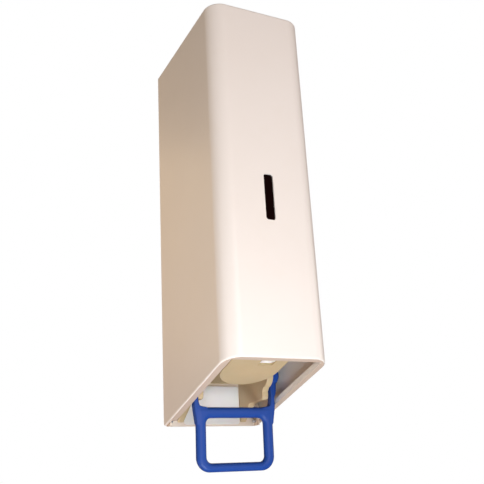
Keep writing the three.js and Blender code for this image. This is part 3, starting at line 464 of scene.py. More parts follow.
class Shader:
    """A material's nodes as they are written."""

    def __init__(self, name: str) -> None:
        """Starts a material with a principled shader.

        Args:
            name: of the material.
        """
        self.material = bpy.data.materials.new(name)
        self.material.use_nodes = True
        self.tree = self.material.node_tree
        self.surface = self.tree.nodes["Principled BSDF"]
        self.place = self.node("ShaderNodeTexCoord").outputs["Object"]

    def node(
        self, kind: str, inputs: Optional[dict[Any, Value]] = None, **settings: Any
    ) -> bpy.types.Node:
        """Adds a node.

        Args:
            kind: node type.
            inputs: a number, colour or other node's socket for each input.
            settings: the node's own properties.

        Returns:
            The node.
        """
        made = self.tree.nodes.new(kind)
        for key, value in settings.items():
            setattr(made, key, value)
        for key, value in (inputs or {}).items():
            self.feed(made, key, value)
        return made

    def feed(self, node: bpy.types.Node, key: Any, value: Value) -> None:
        """Links a socket to an input, or sets a number or colour on it.

        Args:
            node: node to feed.
            key: the input's name or index.
            value: a number, colour or socket.
        """
        if isinstance(value, bpy.types.NodeSocket):
            self.tree.links.new(value, node.inputs[key])
        elif isinstance(value, tuple) and len(value) == 3 and node.inputs[key].type == "RGBA":
            node.inputs[key].default_value = (*value, 1.0)
        else:
            node.inputs[key].default_value = value

    def set(self, **values: Value) -> None:
        """Sets the principled shader's inputs, with _ in a name for a space."""
        for key, value in values.items():
            self.feed(self.surface, key.replace("_", " "), value)

    def noise(
        self, scale: float, detail: float = 2.0, stretch: Colour = (1.0, 1.0, 1.0),
        roughness: float = 0.5,
    ) -> bpy.types.NodeSocket:
        """Noise in the frame's own coordinates.

        Args:
            scale: waves in a metre.
            detail: octaves.
            stretch: scale along each axis.
            roughness: weight of the finer octaves.

        Returns:
            The noise from 0 to 1.
        """
        place = self.place
        if stretch != (1.0, 1.0, 1.0):
            place = self.node("ShaderNodeMapping", {"Vector": place, "Scale": stretch}).outputs[0]
        inputs = {"Vector": place, "Scale": scale, "Detail": detail, "Roughness": roughness}
        return self.node("ShaderNodeTexNoise", inputs).outputs["Fac"]

    def ranged(
        self, value: bpy.types.NodeSocket, low: float, high: float,
        start: float = 0.3, end: float = 0.7,
    ) -> bpy.types.NodeSocket:
        """A value's part from `start` to `end` spread from `low` to `high`."""
        inputs: dict[Any, Value] = {0: value, 1: start, 2: end, 3: low, 4: high}
        return self.node("ShaderNodeMapRange", inputs).outputs[0]

    def mixed(self, share: Value, first: Value, second: Value) -> bpy.types.NodeSocket:
        """A colour between two others.

        Args:
            share: how much of the second colour.
            first: colour at 0.
            second: colour at 1.

        Returns:
            The mixed colour.
        """
        made = self.node("ShaderNodeMix", data_type="RGBA")
        for index, value in ((0, share), (6, first), (7, second)):
            self.feed(made, index, value)
        return made.outputs[2]

    def math(self, operation: str, first: Value, second: Value) -> bpy.types.NodeSocket:
        """One sum of two values."""
        return self.node("ShaderNodeMath", {0: first, 1: second}, operation=operation).outputs[0]

    def bumped(self, *layers: tuple[bpy.types.NodeSocket, float]) -> None:
        """Bump layers over each other, each a height and its depth in millimetres."""
        normal: Optional[bpy.types.NodeSocket] = None
        for height, depth in layers:
            inputs: dict[Any, Value] = {"Height": height, "Distance": depth * MM, "Strength": 1.0}
            made = self.node("ShaderNodeBump", inputs)
            if normal:
                self.feed(made, "Normal", normal)
            normal = made.outputs[0]
        self.set(Normal=normal)

    def edges(self, radius: float) -> bpy.types.NodeSocket:
        """1 on edges sharper than `radius` in millimetres and 0 on flats.

        Args:
            radius: in millimetres.

        Returns:
            The mask.
        """
        soft = self.node("ShaderNodeBevel", {"Radius": radius * MM}, samples=4).outputs[0]
        hard = self.node("ShaderNodeNewGeometry").outputs["Normal"]
        together = self.node("ShaderNodeVectorMath", {0: soft, 1: hard}, operation="DOT_PRODUCT")
        return self.ranged(together.outputs["Value"], 1.0, 0.0, 0.86, 0.995)


@dataclass(frozen=True)
class Finish:
    """A finish: the record's slot that it belongs to, and how its material is made."""

    slot: str
    colour: Colour

    def material(self) -> bpy.types.Material:
        """The finish's material, made once and then shared."""
        name = f"{self.slot}_{abs(hash_of(self.colour)):04d}"
        return bpy.data.materials.get(name) or self.write(Shader(name))

    def write(self, shader: Shader) -> bpy.types.Material:
        """Writes the finish's nodes; each kind of finish has its own."""
        raise NotImplementedError


def hash_of(colour: Colour) -> int:
    """A short steady number for a colour."""
    return sum(round(part * 1000) * weight for part, weight in zip(colour, (1, 3, 7))) % 10000


def tinted(colour: Colour, factors: Colour) -> Colour:
    """A colour with each part multiplied."""
    return (colour[0] * factors[0], colour[1] * factors[1], colour[2] * factors[2])


@dataclass(frozen=True)
class PowderCoat(Finish):
    """Baked paint on sheet steel: satin, with a fine orange peel, rubbed thin on its edges."""

    roughness: float = 0.36
    peel: float = 0.010
    wear: float = 0.35
    cloud_scale: float = 9.0
    dust_scale: float = 60.0
    rub_scale: float = 320.0
    gloss_scale: float = 38.0
    peel_scale: float = 620.0
    grit_scale: float = 2600.0
    rub_radius: float = 0.7
    coat: float = 0.12
    coat_roughness: float = 0.28
    shade_tint: Colour = (0.985, 0.978, 0.965)
    dust_tint: Colour = (0.93, 0.90, 0.84)
    rub_tint: Colour = (0.80, 0.76, 0.70)

    def write(self, shader: Shader) -> bpy.types.Material:
        """Writes the paint's nodes.

        Args:
            shader: the material's nodes to add to.

        Returns:
            The material.
        """
        cloud = shader.noise(self.cloud_scale, 3.0)
        warm = shader.mixed(
            shader.ranged(cloud, 0.0, 1.0), tinted(self.colour, self.shade_tint), self.colour
        )
        specks = shader.noise(self.dust_scale, 6.0, roughness=0.65)
        dust = shader.ranged(specks, 0.0, 0.16, 0.52, 0.8)
        dusty = shader.mixed(dust, warm, tinted(self.colour, self.dust_tint))
        rubbed = shader.math(
            "MULTIPLY", shader.edges(self.rub_radius),
            shader.ranged(shader.noise(self.rub_scale, 4.0), 0.0, self.wear),
        )
        shader.set(
            Base_Color=shader.mixed(rubbed, dusty, tinted(self.colour, self.rub_tint)),
            Roughness=shader.ranged(
                shader.noise(self.gloss_scale, 4.0), self.roughness - 0.04, self.roughness + 0.06
            ),
            Coat_Weight=self.coat,
            Coat_Roughness=self.coat_roughness,
        )
        shader.bumped(
            (shader.noise(self.peel_scale, 2.0), self.peel),
            (shader.noise(self.grit_scale, 1.0), self.peel * 0.25),
        )
        return shader.material


@dataclass(frozen=True)
class MouldedPlastic(Finish):
    """Injection-moulded plastic: slow flow shades, a fine spark texture, and edges mixed towards a
    second tone: paler rubbed edges where edge_gain is over 1, painted shade where it is under 1.
    """

    roughness: float = 0.4
    grain: float = 1500.0
    grain_depth: float = 0.006
    edge_rub_and_shade: float = 0.25
    edge_radius: float = 0.6
    edge_gain: float = 1.3
    gloss: float = 0.5
    glow: float = 0.0
    glow_depth: float = 0.002
    flow_scale: float = 28.0
    speck_scale: float = 420.0
    rub_scale: float = 250.0
    gloss_scale: float = 90.0
    flow_depth: float = 0.02
    flow_stretch: Colour = (1.0, 1.0, 0.45)
    dark_tint: Colour = (0.93, 0.94, 0.95)
    light_tint: Colour = (1.04, 1.03, 1.02)
    speck_tint: Colour = (0.84, 0.85, 0.88)

    def write(self, shader: Shader) -> bpy.types.Material:
        """Writes the plastic's nodes.

        Args:
            shader: the material's nodes to add to.

        Returns:
            The material.
        """
        flow = shader.noise(self.flow_scale, 3.0, self.flow_stretch)
        body = shader.mixed(
            shader.ranged(flow, 0.0, 1.0), tinted(self.colour, self.dark_tint),
            tinted(self.colour, self.light_tint),
        )
        specks = shader.ranged(shader.noise(self.speck_scale, 3.0), 0.0, 0.22, 0.6, 0.8)
        mottled = shader.mixed(specks, body, tinted(self.colour, self.speck_tint))
        # Edge mask times noise: rubbed paler edges where edge_gain is over 1; painted shade along
        # the turned edges where it is under 1, as on the blue lever.
        rub_and_shade_mask = shader.math(
            "MULTIPLY", shader.edges(self.edge_radius),
            shader.ranged(shader.noise(self.rub_scale, 3.0), 0.4, 1.0),
        )
        rubbed_and_shaded_tone = tuple(min(1.0, part * self.edge_gain) for part in self.colour)
        shader.set(
            Base_Color=shader.mixed(shader.math("MULTIPLY", rub_and_shade_mask, self.edge_rub_and_shade), mottled, rubbed_and_shaded_tone),
            Roughness=shader.ranged(
                shader.noise(self.gloss_scale, 4.0), self.roughness - 0.05, self.roughness + 0.08
            ),
            Specular_IOR_Level=self.gloss,
            Subsurface_Weight=self.glow,
            Subsurface_Scale=self.glow_depth,
        )
        shader.bumped((shader.noise(self.grain, 2.0), self.grain_depth), (flow, self.flow_depth))
        return shader.material


@dataclass(frozen=True)
class BlownPlastic(Finish):
    """Milky blow-moulded plastic with faint drawn streaks up its walls."""

    roughness: float = 0.38
    glow: float = 0.45
    glow_depth: float = 0.004
    streak_scale: float = 150.0
    cloud_scale: float = 22.0
    skin_scale: float = 900.0
    streak_depth: float = 0.03
    skin_depth: float = 0.004
    streak_stretch: Colour = (1.0, 1.0, 0.06)
    cloud_tint: Colour = (0.94, 0.945, 0.93)
    streak_tint: Colour = (0.90, 0.905, 0.89)

    def write(self, shader: Shader) -> bpy.types.Material:
        """Writes the bottle's nodes.

        Args:
            shader: the material's nodes to add to.

        Returns:
            The material.
        """
        streak = shader.noise(self.streak_scale, 3.0, self.streak_stretch)
        cloud = shader.noise(self.cloud_scale, 3.0)
        milk = shader.mixed(
            shader.ranged(cloud, 0.0, 1.0), tinted(self.colour, self.cloud_tint), self.colour
        )
        shader.set(
            Base_Color=shader.mixed(
                shader.ranged(streak, 0.0, 0.3), milk, tinted(self.colour, self.streak_tint)
            ),
            Roughness=shader.ranged(streak, self.roughness - 0.05, self.roughness + 0.1),
            Subsurface_Weight=self.glow,
            Subsurface_Scale=self.glow_depth,
        )
        shader.bumped(
            (streak, self.streak_depth), (shader.noise(self.skin_scale, 2.0), self.skin_depth)
        )
        return shader.material


@dataclass(frozen=True)
class PlatedSteel(Finish):
    """Bright zinc-plated steel with turning marks and dull patches."""

    roughness: float = 0.26
    patch_scale: float = 240.0
    mark_scale: float = 2400.0
    mark_depth: float = 0.004
    mark_stretch: Colour = (1.0, 0.12, 1.0)
    patch_tint: Colour = (0.86, 0.88, 0.92)

    def write(self, shader: Shader) -> bpy.types.Material:
        """Writes the metal's nodes.

        Args:
            shader: the material's nodes to add to.

        Returns:
            The material.
        """
        patches = shader.noise(self.patch_scale, 4.0)
        marks = shader.noise(self.mark_scale, 2.0, self.mark_stretch)
        shader.set(
            Base_Color=shader.mixed(
                shader.ranged(patches, 0.0, 1.0), tinted(self.colour, self.patch_tint), self.colour
            ),
            Metallic=1.0,
            Roughness=shader.math(
                "ADD", shader.ranged(patches, self.roughness, self.roughness + 0.16),
                shader.ranged(marks, -0.04, 0.05),
            ),
        )
        shader.bumped((marks, self.mark_depth))
        return shader.material


@dataclass(frozen=True)
class SoftRubber(Finish):
    """Dark moulded rubber with a dusty bloom."""

    bloom_scale: float = 180.0
    dull_scale: float = 400.0
    skin_scale: float = 1800.0
    skin_depth: float = 0.008
    sheen: float = 0.15
    bloom_tint: Colour = (2.2, 2.2, 2.3)

    def write(self, shader: Shader) -> bpy.types.Material:
        """Writes the rubber's nodes.

        Args:
            shader: the material's nodes to add to.

        Returns:
            The material.
        """
        bloom = shader.ranged(shader.noise(self.bloom_scale, 5.0), 0.0, 0.5, 0.45, 0.75)
        shader.set(
            Base_Color=shader.mixed(bloom, self.colour, tinted(self.colour, self.bloom_tint)),
            Roughness=shader.ranged(shader.noise(self.dull_scale, 3.0), 0.62, 0.85),
            Sheen_Weight=self.sheen,
        )
        shader.bumped((shader.noise(self.skin_scale, 2.0), self.skin_depth))
        return shader.material


@dataclass(frozen=True)
class SmokedLens(Finish):
    """Dark polished plastic, with wiping marks in its gloss."""

    roughness: float = 0.1
    gloss: float = 0.06
    wipe_scale: float = 500.0
    depth_scale: float = 70.0
    wipe_depth: float = 0.002
    wipe_stretch: Colour = (1.0, 1.0, 0.25)
    depth_tint: Colour = (1.7, 1.4, 1.3)

    def write(self, shader: Shader) -> bpy.types.Material:
        """Writes the lens' nodes.

        Args:
            shader: the material's nodes to add to.

        Returns:
            The material.
        """
        wiped = shader.noise(self.wipe_scale, 4.0, self.wipe_stretch)
        depth = shader.ranged(shader.noise(self.depth_scale, 2.0), 0.0, 1.0)
        shader.set(
            Base_Color=shader.mixed(depth, self.colour, tinted(self.colour, self.depth_tint)),
            Roughness=shader.ranged(wiped, self.roughness, self.roughness + 0.12),
            Specular_IOR_Level=self.gloss,
        )
        shader.bumped((wiped, self.wipe_depth))
        return shader.material


COVER_PAINT = PowderCoat("cover_paint", (0.860, 0.815, 0.765))
# Darker paint for the rim's down-facing underside: painted shade, with rubbed edges.
RIM_SHADE_PAINT = PowderCoat("cover_paint", (0.600, 0.470, 0.380), roughness=0.45, wear=0.6)
PLATE_PAINT = PowderCoat("plate_paint", (0.830, 0.715, 0.600), roughness=0.48, wear=0.5)
BEIGE_PLASTIC = MouldedPlastic("beige_plastic", (0.580, 0.440, 0.255), roughness=0.5, glow=0.06)
WHITE_PLASTIC = MouldedPlastic("white_plastic", (0.930, 0.900, 0.870), roughness=0.36, glow=0.10)
# edge_gain under 1 darkens the lever's rounded edges: painted shade where the bars turn away from
# the light.
BLUE_PLASTIC = MouldedPlastic(
    "blue_plastic", (0.009, 0.056, 0.295), roughness=0.42, grain=900.0, edge_rub_and_shade=0.9,
    edge_radius=1.8, edge_gain=0.25, gloss=0.3,
)
BOTTLE_PLASTIC = BlownPlastic("bottle_plastic", (0.800, 0.800, 0.740))
SMOKED_PLASTIC = SmokedLens("smoked_plastic", (0.004, 0.001, 0.001))
RUBBER = SoftRubber("rubber", (0.018, 0.018, 0.020))
STEEL = PlatedSteel("steel", (0.560, 0.570, 0.590))


class Body(Enum):
    """The frame's moving bodies."""

    BASE = "base"
    LEVER = "lever"
    PLUNGER = "plunger"
    COVER = "cover"
    LOCK = "lock"


def show(
    solid: Solid, name: str, body: Body, finish: Finish, node: str, crease: float = 32.0
) -> bpy.types.Object:
    """Puts a finished solid in the scene as a piece that stands for a node of the frame.

    Args:
        solid: the mesh, in millimetres.
        name: of the piece.
        body: what it rides on.
        finish: its finish.
        node: the frame's node that it replaces.
        crease: angle in degrees over which an edge stays sharp.

    Returns:
        The piece.
    """
    mesh = solid.mesh
    mesh.name = name
    mesh.transform(Matrix.Scale(MM, 4))
    mesh.materials.clear()
    mesh.materials.append(finish.material())
    mesh.polygons.foreach_set("use_smooth", [True] * len(mesh.polygons))
    mesh.polygons.foreach_set("material_index", [0] * len(mesh.polygons))
    mesh.set_sharp_from_angle(angle=math.radians(crease))
    piece = placed(name, mesh)
    shading = piece.modifiers.new("shading", "WEIGHTED_NORMAL")
    shading.keep_sharp, shading.weight = True, 80
    return adopt(piece, body, finish, node)


def adopt(piece: bpy.types.Object, body: Body, finish: Finish, node: str) -> bpy.types.Object:
    """Rides a piece on its body in place of a node, and logs it.

    Args:
        piece: object to adopt.
        body: what it rides on.
        finish: its finish.
        node: the frame's node that it replaces.

    Returns:
        The piece.
    """
    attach(piece, body.value)
    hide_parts(node)
    log.info("%s rides on %s for node %s in %s", piece.name, body.value, node, finish.slot)
    return piece


# ---- Case geometry shared by several pieces ------------------------------------------------------


@dataclass(frozen=True)
class Rim:
    """The slanted plane of the case's open bottom."""

    wall_height: float = -box_of("cover")[1].z
    rise: float = 35.0
    depth: float = -box_of("cover")[0].y

    @property
    def slope(self) -> float:
        """How much the plane rises for each millimetre from the wall."""
        return self.rise / self.depth

    @property
    def normal(self) -> tuple[float, float, float]:
        """The plane's normal, with z = 1."""
        return (0.0, self.slope, 1.0)

    def height(self, y: float, over: float = 0.0) -> float:
        """Height at y of the plane that lies `over` above the rim."""
        return self.wall_height - self.slope * y + over

    def slab(self, low: float, high: float) -> Solid:
        """All between two planes parallel to the rim.

        Args:
            low: height of the lower plane over the rim.
            high: height of the upper one.

        Returns:
            The slab.
        """
        near, far = FAR, -FAR
        outline = [
            (far, self.height(far, low)),
            (near, self.height(near, low)),
            (near, self.height(near, high)),
            (far, self.height(far, high)),
        ]
        return Solid.drawn(outline, Axis.X, -FAR, FAR)

    def edges(self, over: float, unless: Optional[EdgeTest] = None) -> EdgeTest:
        """A test for sharp edges in the plane `over` above the rim."""
        return on_plane(self.normal, self.wall_height + over, unless)


RIM = Rim()


class Part(NamedTuple):
    """A piece to show: its name, what it rides on, its finish and the node it stands for."""

    name: str
    body: Body
    finish: Finish
    node: str
    crease: float = 32.0


@dataclass
class SubAssembly:
    """A group of pieces: build() makes its solids, and dress() shows them in their finishes."""

    solids: dict[str, Solid] = field(default_factory=dict, init=False)

    def build(self) -> None:
        """Makes the solids."""
        raise NotImplementedError

    def parts(self) -> list[Part]:
        """Lists the pieces that dress() shows, in order."""
        raise NotImplementedError

    def dress(self) -> list[bpy.types.Object]:
        """Shows the solids as pieces."""
        return [show(self.solids[part.name], *part) for part in self.parts()]


def case_plan(half: float, rear: float, front: float, radius: float) -> Outline:
    """A plan that is square at the wall and rounded at its two front edges."""
    corners = [(half, rear), (-half, rear), (-half, front), (half, front)]
    return filleted(corners, [0.0, 0.0, radius, radius], 14)


# ---- Cover ---------------------------------------------------------------------------------------


@dataclass
class Cover(SubAssembly):
    """Folded sheet cover with its rim, sight slot and lens, and the studs that it hinges on."""

    sheet: float = 1.5
    corner: float = 14.0
    top_bend: float = 2.2
    rim_bend: float = 1.3
    flange_width: float = 6.1
    flange_start: float = -14.0
    front_lip: float = 5.0
    lip_height: float = 4.8
    hinge_corner: float = 4.0
    lock_hole: float = 7.2
    slot_radius: float = 2.0
    slot_inset: float = 3.5
    slot_gap: float = 0.2
    lens_plate: float = 1.2
    slot_depth: float = 4.0
    hem: float = 0.35
    lip_lap: float = 0.8
    dome: float = 0.7
    below: float = 20.0
    ear_drop: float = 30.0
    rim_facing: float = 0.97
    rim_slack: float = 0.2

    def build(self) -> None:
        """Makes the cover, the lens and the two hinge studs."""
        self.solids["cover_shell"] = self.make_shell()
        self.solids["sight_lens_block"] = self.make_lens()
        for side, hand in SIDES:
            self.solids[f"hinge_stud_{hand}"] = self.make_stud(f"hinge_pin_{hand}", side)

    def make_shell(self) -> Solid:
        """The folded sheet, hollow and open to the wall and below.

        Returns:
            The painted shell.
        """
        low, high = box_of("cover")
        rear, front, half, top = high.y, low.y, high.x, high.z
        at_rear: EdgeTest = lambda edge: all(v.co.y > rear - 0.01 for v in edge.verts)
        outside_plan = case_plan(half, rear, front, self.corner)
        outside = Solid.drawn(outside_plan, Axis.Z, low.z - self.below, top)
        outside = outside.cut(RIM.slab(-FAR, 0))
        outside = outside.rounded(self.top_bend, on_plane((0, 0, 1), top, at_rear), 5)
        outside = outside.rounded(self.rim_bend, RIM.edges(0, at_rear), 4)

        opening = half - self.flange_width
        fold = Solid.block((-FAR, -FAR, -FAR), (FAR, self.flange_start, FAR))
        fold = fold.common(RIM.slab(-FAR / 2, self.sheet))
        fold = fold.cut(Solid.block((-opening, front + self.front_lip, -FAR), (opening, FAR, FAR)))
        inner = self.corner - self.sheet
        hollow_plan = case_plan(half - self.sheet, PAST, front + self.sheet, inner)
        hollow = Solid.drawn(hollow_plan, Axis.Z, low.z - 2 * self.below, top - self.sheet)
        shell = outside.cut(hollow.cut(fold))
        for side, _ in SIDES:
            shell = shell.joined(self.make_lip(side, opening, front))

        hinge = middle_of("hinge_pin_left")
        ear = Solid.block((-FAR, hinge.y, hinge.z - self.ear_drop), (FAR, self.ear_drop, hinge.z))
        ear = ear.cut(Solid.bar(Axis.X, (hinge.y, hinge.z), self.hinge_corner, -FAR, FAR, steps=96))
        lock = middle_of("lock_housing")
        hole = Solid.bar(Axis.Z, (lock.x, lock.y), self.lock_hole, top - PAST, top + PAST)
        shell = shell.cut(ear, self.slot_cutter(front), hole)
        low, high = self.slot_corners()
        round_slot: EdgeTest = lambda edge: all(
            abs(v.co.x) < high.x + 0.1 and low.z - 0.1 < v.co.z < high.z + 0.1 for v in edge.verts
        )
        return shell.rounded(self.hem, on_plane((0, 1, 0), front, lambda e: not round_slot(e)), 2)

    def slot_corners(self) -> tuple[Vector, Vector]:
        """Lowest and highest corners of the sight slot, from the lens behind it."""
        low, high = box_of("sight_lens")
        inset = Vector((self.slot_inset, 0, self.slot_inset))
        return low + inset, high - inset

    def slot_cutter(self, front: float) -> Solid:
        """What the sight slot takes out of the front panel."""
        low, high = self.slot_corners()
        outline = filleted(rectangle(low.x, high.x, low.z, high.z), self.slot_radius)
        return Solid.drawn(outline, Axis.Y, front - PAST, front + self.slot_depth)

    def make_lip(self, side: int, opening: float, front: float) -> Solid:
        """The upturned lip on one side flange, its free edge rounded.

        Args:
            side: -1 for the left, 1 for the right.
            opening: half the width between the flanges.
            front: y of the cover's front face.

        Returns:
            The lip.
        """
        inner, outer = sorted((side * opening, side * (opening + self.sheet)))
        ends = (front + self.front_lip - self.lip_lap, self.flange_start)
        base, top = 0.5 * self.sheet, self.lip_height
        outline = [(y, RIM.height(y, over)) for y, over in zip(ends * 2, (base, base, top, top))]
        outline = [outline[0], outline[1], outline[3], outline[2]]
        return Solid.drawn(outline, Axis.X, inner, outer).rounded(0.5, RIM.edges(top), 3)

    def make_lens(self) -> Solid:
        """The smoked lens: a plate behind the panel and a raised block that fills the slot.

        Returns:
            The lens.
        """
        low, high = box_of("sight_lens")
        corner_low, corner_high = self.slot_corners()
        plate = Solid.drawn(
            filleted(rectangle(low.x, high.x, low.z, high.z), self.slot_radius),
            Axis.Y, high.y - self.lens_plate, high.y, 0.25,
        )
        gap = self.slot_gap
        window = rectangle(
            corner_low.x + gap, corner_high.x - gap, corner_low.z + gap, corner_high.z - gap
        )
        outline = filleted(window, self.slot_radius - gap)
        block = Solid.drawn(outline, Axis.Y, low.y, high.y - 0.5)
        return plate.joined(block.rounded(0.3, on_plane((0, 1, 0), low.y), 2))

    def make_stud(self, node: str, side: int) -> Solid:
        """A hinge stud with a domed free end.

        Args:
            node: the stud's node.
            side: -1 for the left, 1 for the right.

        Returns:
            The stud.
        """
        low, high = box_of(node)
        radius = (high.z - low.z) / 2
        length = high.x - low.x
        body = length - self.dome
        profile = [(0.0, 0.0), (radius, 0.0), (radius, body)]
        profile += [(radius * math.cos(t), body + self.dome * math.sin(t)) for t in (0.5, 1.0)]
        profile.append((0.0, length))
        root = low.x if side < 0 else high.x
        along = [(r, root - side * h) for r, h in profile]
        middle = middle_of(node)
        return Solid.turned(along, Axis.X, (middle.y, middle.z), 32)

    def parts(self) -> list[Part]:
        """The painted cover, its lens and its studs.

        Returns:
            The pieces in order.
        """
        return [
            Part("cover_shell", Body.COVER, COVER_PAINT, "cover", 40.0),
            Part("sight_lens_block", Body.COVER, SMOKED_PLASTIC, "sight_lens"),
            *(
                Part(f"hinge_stud_{hand}", Body.COVER, STEEL, f"hinge_pin_{hand}")
                for _, hand in SIDES
            ),
        ]

    def dress(self) -> list[bpy.types.Object]:
        """Shows the pieces, and paints shade on the underside of the cover's rim."""
        pieces = super().dress()
        self.paint_rim_shade(pieces[0].data)
        return pieces

    def paint_rim_shade(self, mesh: bpy.types.Mesh) -> None:
        """Paints shade on the rim's down-facing underside, in a darker paint.

        Args:
            mesh: the cover's finished mesh, in metres.
        """
        mesh.materials.append(RIM_SHADE_PAINT.material())
        # Faces in the rim plane that face down take the darker paint: painted shade.
        down = Vector(RIM.normal)
        for face in mesh.polygons:
            over = face.center.z / MM - RIM.height(face.center.y / MM)
            if abs(face.normal.dot(down)) > self.rim_facing and abs(over) < self.rim_slack:
                face.material_index = 1


# ---- Lock ----------------------------------------------------------------------------------------


@dataclass
class CoverLock(SubAssembly):
    """Lock in the cover's top: housing and nut stay with the cover, plug and cam turn in them."""

    bore: float = 4.55
    body_radius: float = 7.0
    flange_height: float = 2.4
    key_socket: float = 2.75
    cam_sheet: float = 1.5
    tip: float = 2.5
    face_chamfer: float = 0.35
    nut_play: float = 0.2
    nut_chamfer: float = 0.9
    screw_length: float = 7.5
    screw_hole: float = 1.8

    def build(self) -> None:
        """Makes the five pieces of the lock."""
        low, high = box_of("lock_housing")
        axis = middle_of("lock_housing")
        centre = (axis.x, axis.y)
        flange = high.z - self.flange_height
        wide = high.x
        profile = [
            (self.bore, low.z), (self.body_radius, low.z), (self.body_radius, flange),
            (wide, flange), (wide, flange + 0.7), (wide - 0.9, high.z),
            (self.bore + 0.5, high.z), (self.bore, high.z - 0.4),
        ]
        self.solids["lock_collar"] = Solid.turned(profile, Axis.Z, centre, 72, 0.18)
        self.solids["lock_hex_nut"] = self.make_nut(centre)
        self.solids["lock_key_plug"] = self.make_plug(centre)
        self.solids["lock_cam_blade"] = self.make_cam(centre)
        seat = box_of("cam_screw")[0].z + SCREW_HEAD
        self.solids["lock_cam_screw"] = make_screw(self.screw_length).moved(
            Matrix.Translation((axis.x, axis.y, seat)) @ Matrix.Rotation(math.pi / 2, 4, "X")
        )

    def make_nut(self, centre: Point) -> Solid:
        """Hexagon nut with chamfered corners.

        Args:
            centre: the lock's centre line, as (x, y).

        Returns:
            The nut.
        """
        low, high = box_of("lock_nut")
        radius = (high.y - low.y) / 2
        hexagon = [
            (centre[0] + (v - centre[1]), centre[1] + (u - centre[0]))
            for u, v in circle(centre, radius, 6)
        ]
        blank = Solid.drawn(hexagon, Axis.Z, low.z, high.z)
        flat, tip = radius - 1.0, radius + 0.3
        cone = [
            (0.0, low.z), (flat, low.z), (tip, low.z + self.nut_chamfer),
            (tip, high.z - self.nut_chamfer), (flat, high.z), (0.0, high.z),
        ]
        return blank.common(Solid.turned(cone, Axis.Z, centre)).cut(
            Solid.bar(
                Axis.Z, centre, self.body_radius + self.nut_play, low.z - PAST, high.z + PAST
            )
        )

    def make_plug(self, centre: Point) -> Solid:
        """Turning plug with a triangular key socket and a chamfered face.

        Args:
            centre: the lock's centre line, as (x, y).

        Returns:
            The plug.
        """
        low, high = box_of("lock_plug")
        radius = (high.x - low.x) / 2
        chamfer = self.face_chamfer
        profile = [
            (0.0, low.z), (radius, low.z), (radius, high.z - chamfer), (radius - chamfer, high.z),
            (0.0, high.z),
        ]
        socket = filleted(arc(centre, self.key_socket, 90, 330, 2), 0.35, 3)
        return Solid.turned(profile, Axis.Z, centre, 64).cut(
            Solid.drawn(socket, Axis.Z, high.z - 3, high.z + 1),
            Solid.bar(Axis.Z, centre, self.screw_hole, low.z - 3, high.z - 4, steps=24),
        )

    def make_cam(self, centre: Point) -> Solid:
        """Cam blade with a round eye and its tip turned down.

        Args:
            centre: the lock's centre line, as (x, y).

        Returns:
            The cam.
        """
        low, high = box_of("lock_cam")
        eye, sheet = -low.x, high.z - self.cam_sheet
        blade = filleted(
            rectangle(centre[0], high.x, centre[1] - self.tip, centre[1] + self.tip),
            [0.0, 0.8, 0.8, 0.0], 4,
        )
        tip = Solid.block(
            (high.x - self.tip, centre[1] - self.tip, low.z),
            (high.x, centre[1] + self.tip, high.z - 0.4), 0.4,
        )
        return Solid.bar(Axis.Z, centre, eye, sheet, high.z, 0.25).joined(
            Solid.drawn(blade, Axis.Z, sheet, high.z, 0.2), tip
        ).cut(Solid.bar(Axis.Z, centre, self.screw_hole, low.z - PAST, high.z + PAST, steps=24))

    def parts(self) -> list[Part]:
        """The lock, all in plated steel.

        Returns:
            The pieces in order.
        """
        return [
            Part("lock_collar", Body.COVER, STEEL, "lock_housing"),
            Part("lock_hex_nut", Body.COVER, STEEL, "lock_nut"),
            Part("lock_key_plug", Body.LOCK, STEEL, "lock_plug"),
            Part("lock_cam_blade", Body.LOCK, STEEL, "lock_cam"),
            Part("lock_cam_screw", Body.LOCK, STEEL, "cam_screw"),
        ]


def make_screw(
    length: float, head: float = SCREW_HEAD, head_radius: float = 3.2, radius: float = 1.6
) -> Solid:
    """A domed screw along -Y with a cross recess and a threaded shank.

    Args:
        length: of head and shank together.
        head: height of the head, which stands at y from -head to 0.
        head_radius: of the head.
        radius: of the shank's thread.

    Returns:
        The screw, its head's seat at y = 0.
    """
    dome = [
        (head_radius * math.cos(t), -head * (0.35 + 0.65 * math.sin(t)))
        for t in (0.0, 0.3, 0.6, 0.9, 1.2)
    ]
    profile = [(0.0, -head), *reversed(dome), (head_radius, 0.0), (radius, 0.0)]
    pitch, shank = 0.8, length - head
    turns = int((shank - 1.0) / pitch)
    for k in range(turns):
        profile += [(radius * 0.82, (k + 0.25) * pitch), (radius * 0.98, (k + 0.75) * pitch)]
    profile += [(radius * 0.8, shank - 0.5), (radius * 0.5, shank), (0.0, shank)]
    cross = [(1.8, 0.36), (0.36, 1.8)]
    arms = [Solid.block((-u, -head - 1, -v), (u, -head * 0.45, v)) for u, v in cross]
    return Solid.turned(profile, Axis.Y, (0.0, 0.0), 36).cut(*arms)


# ---- Back plate ----------------------------------------------------------------------------------


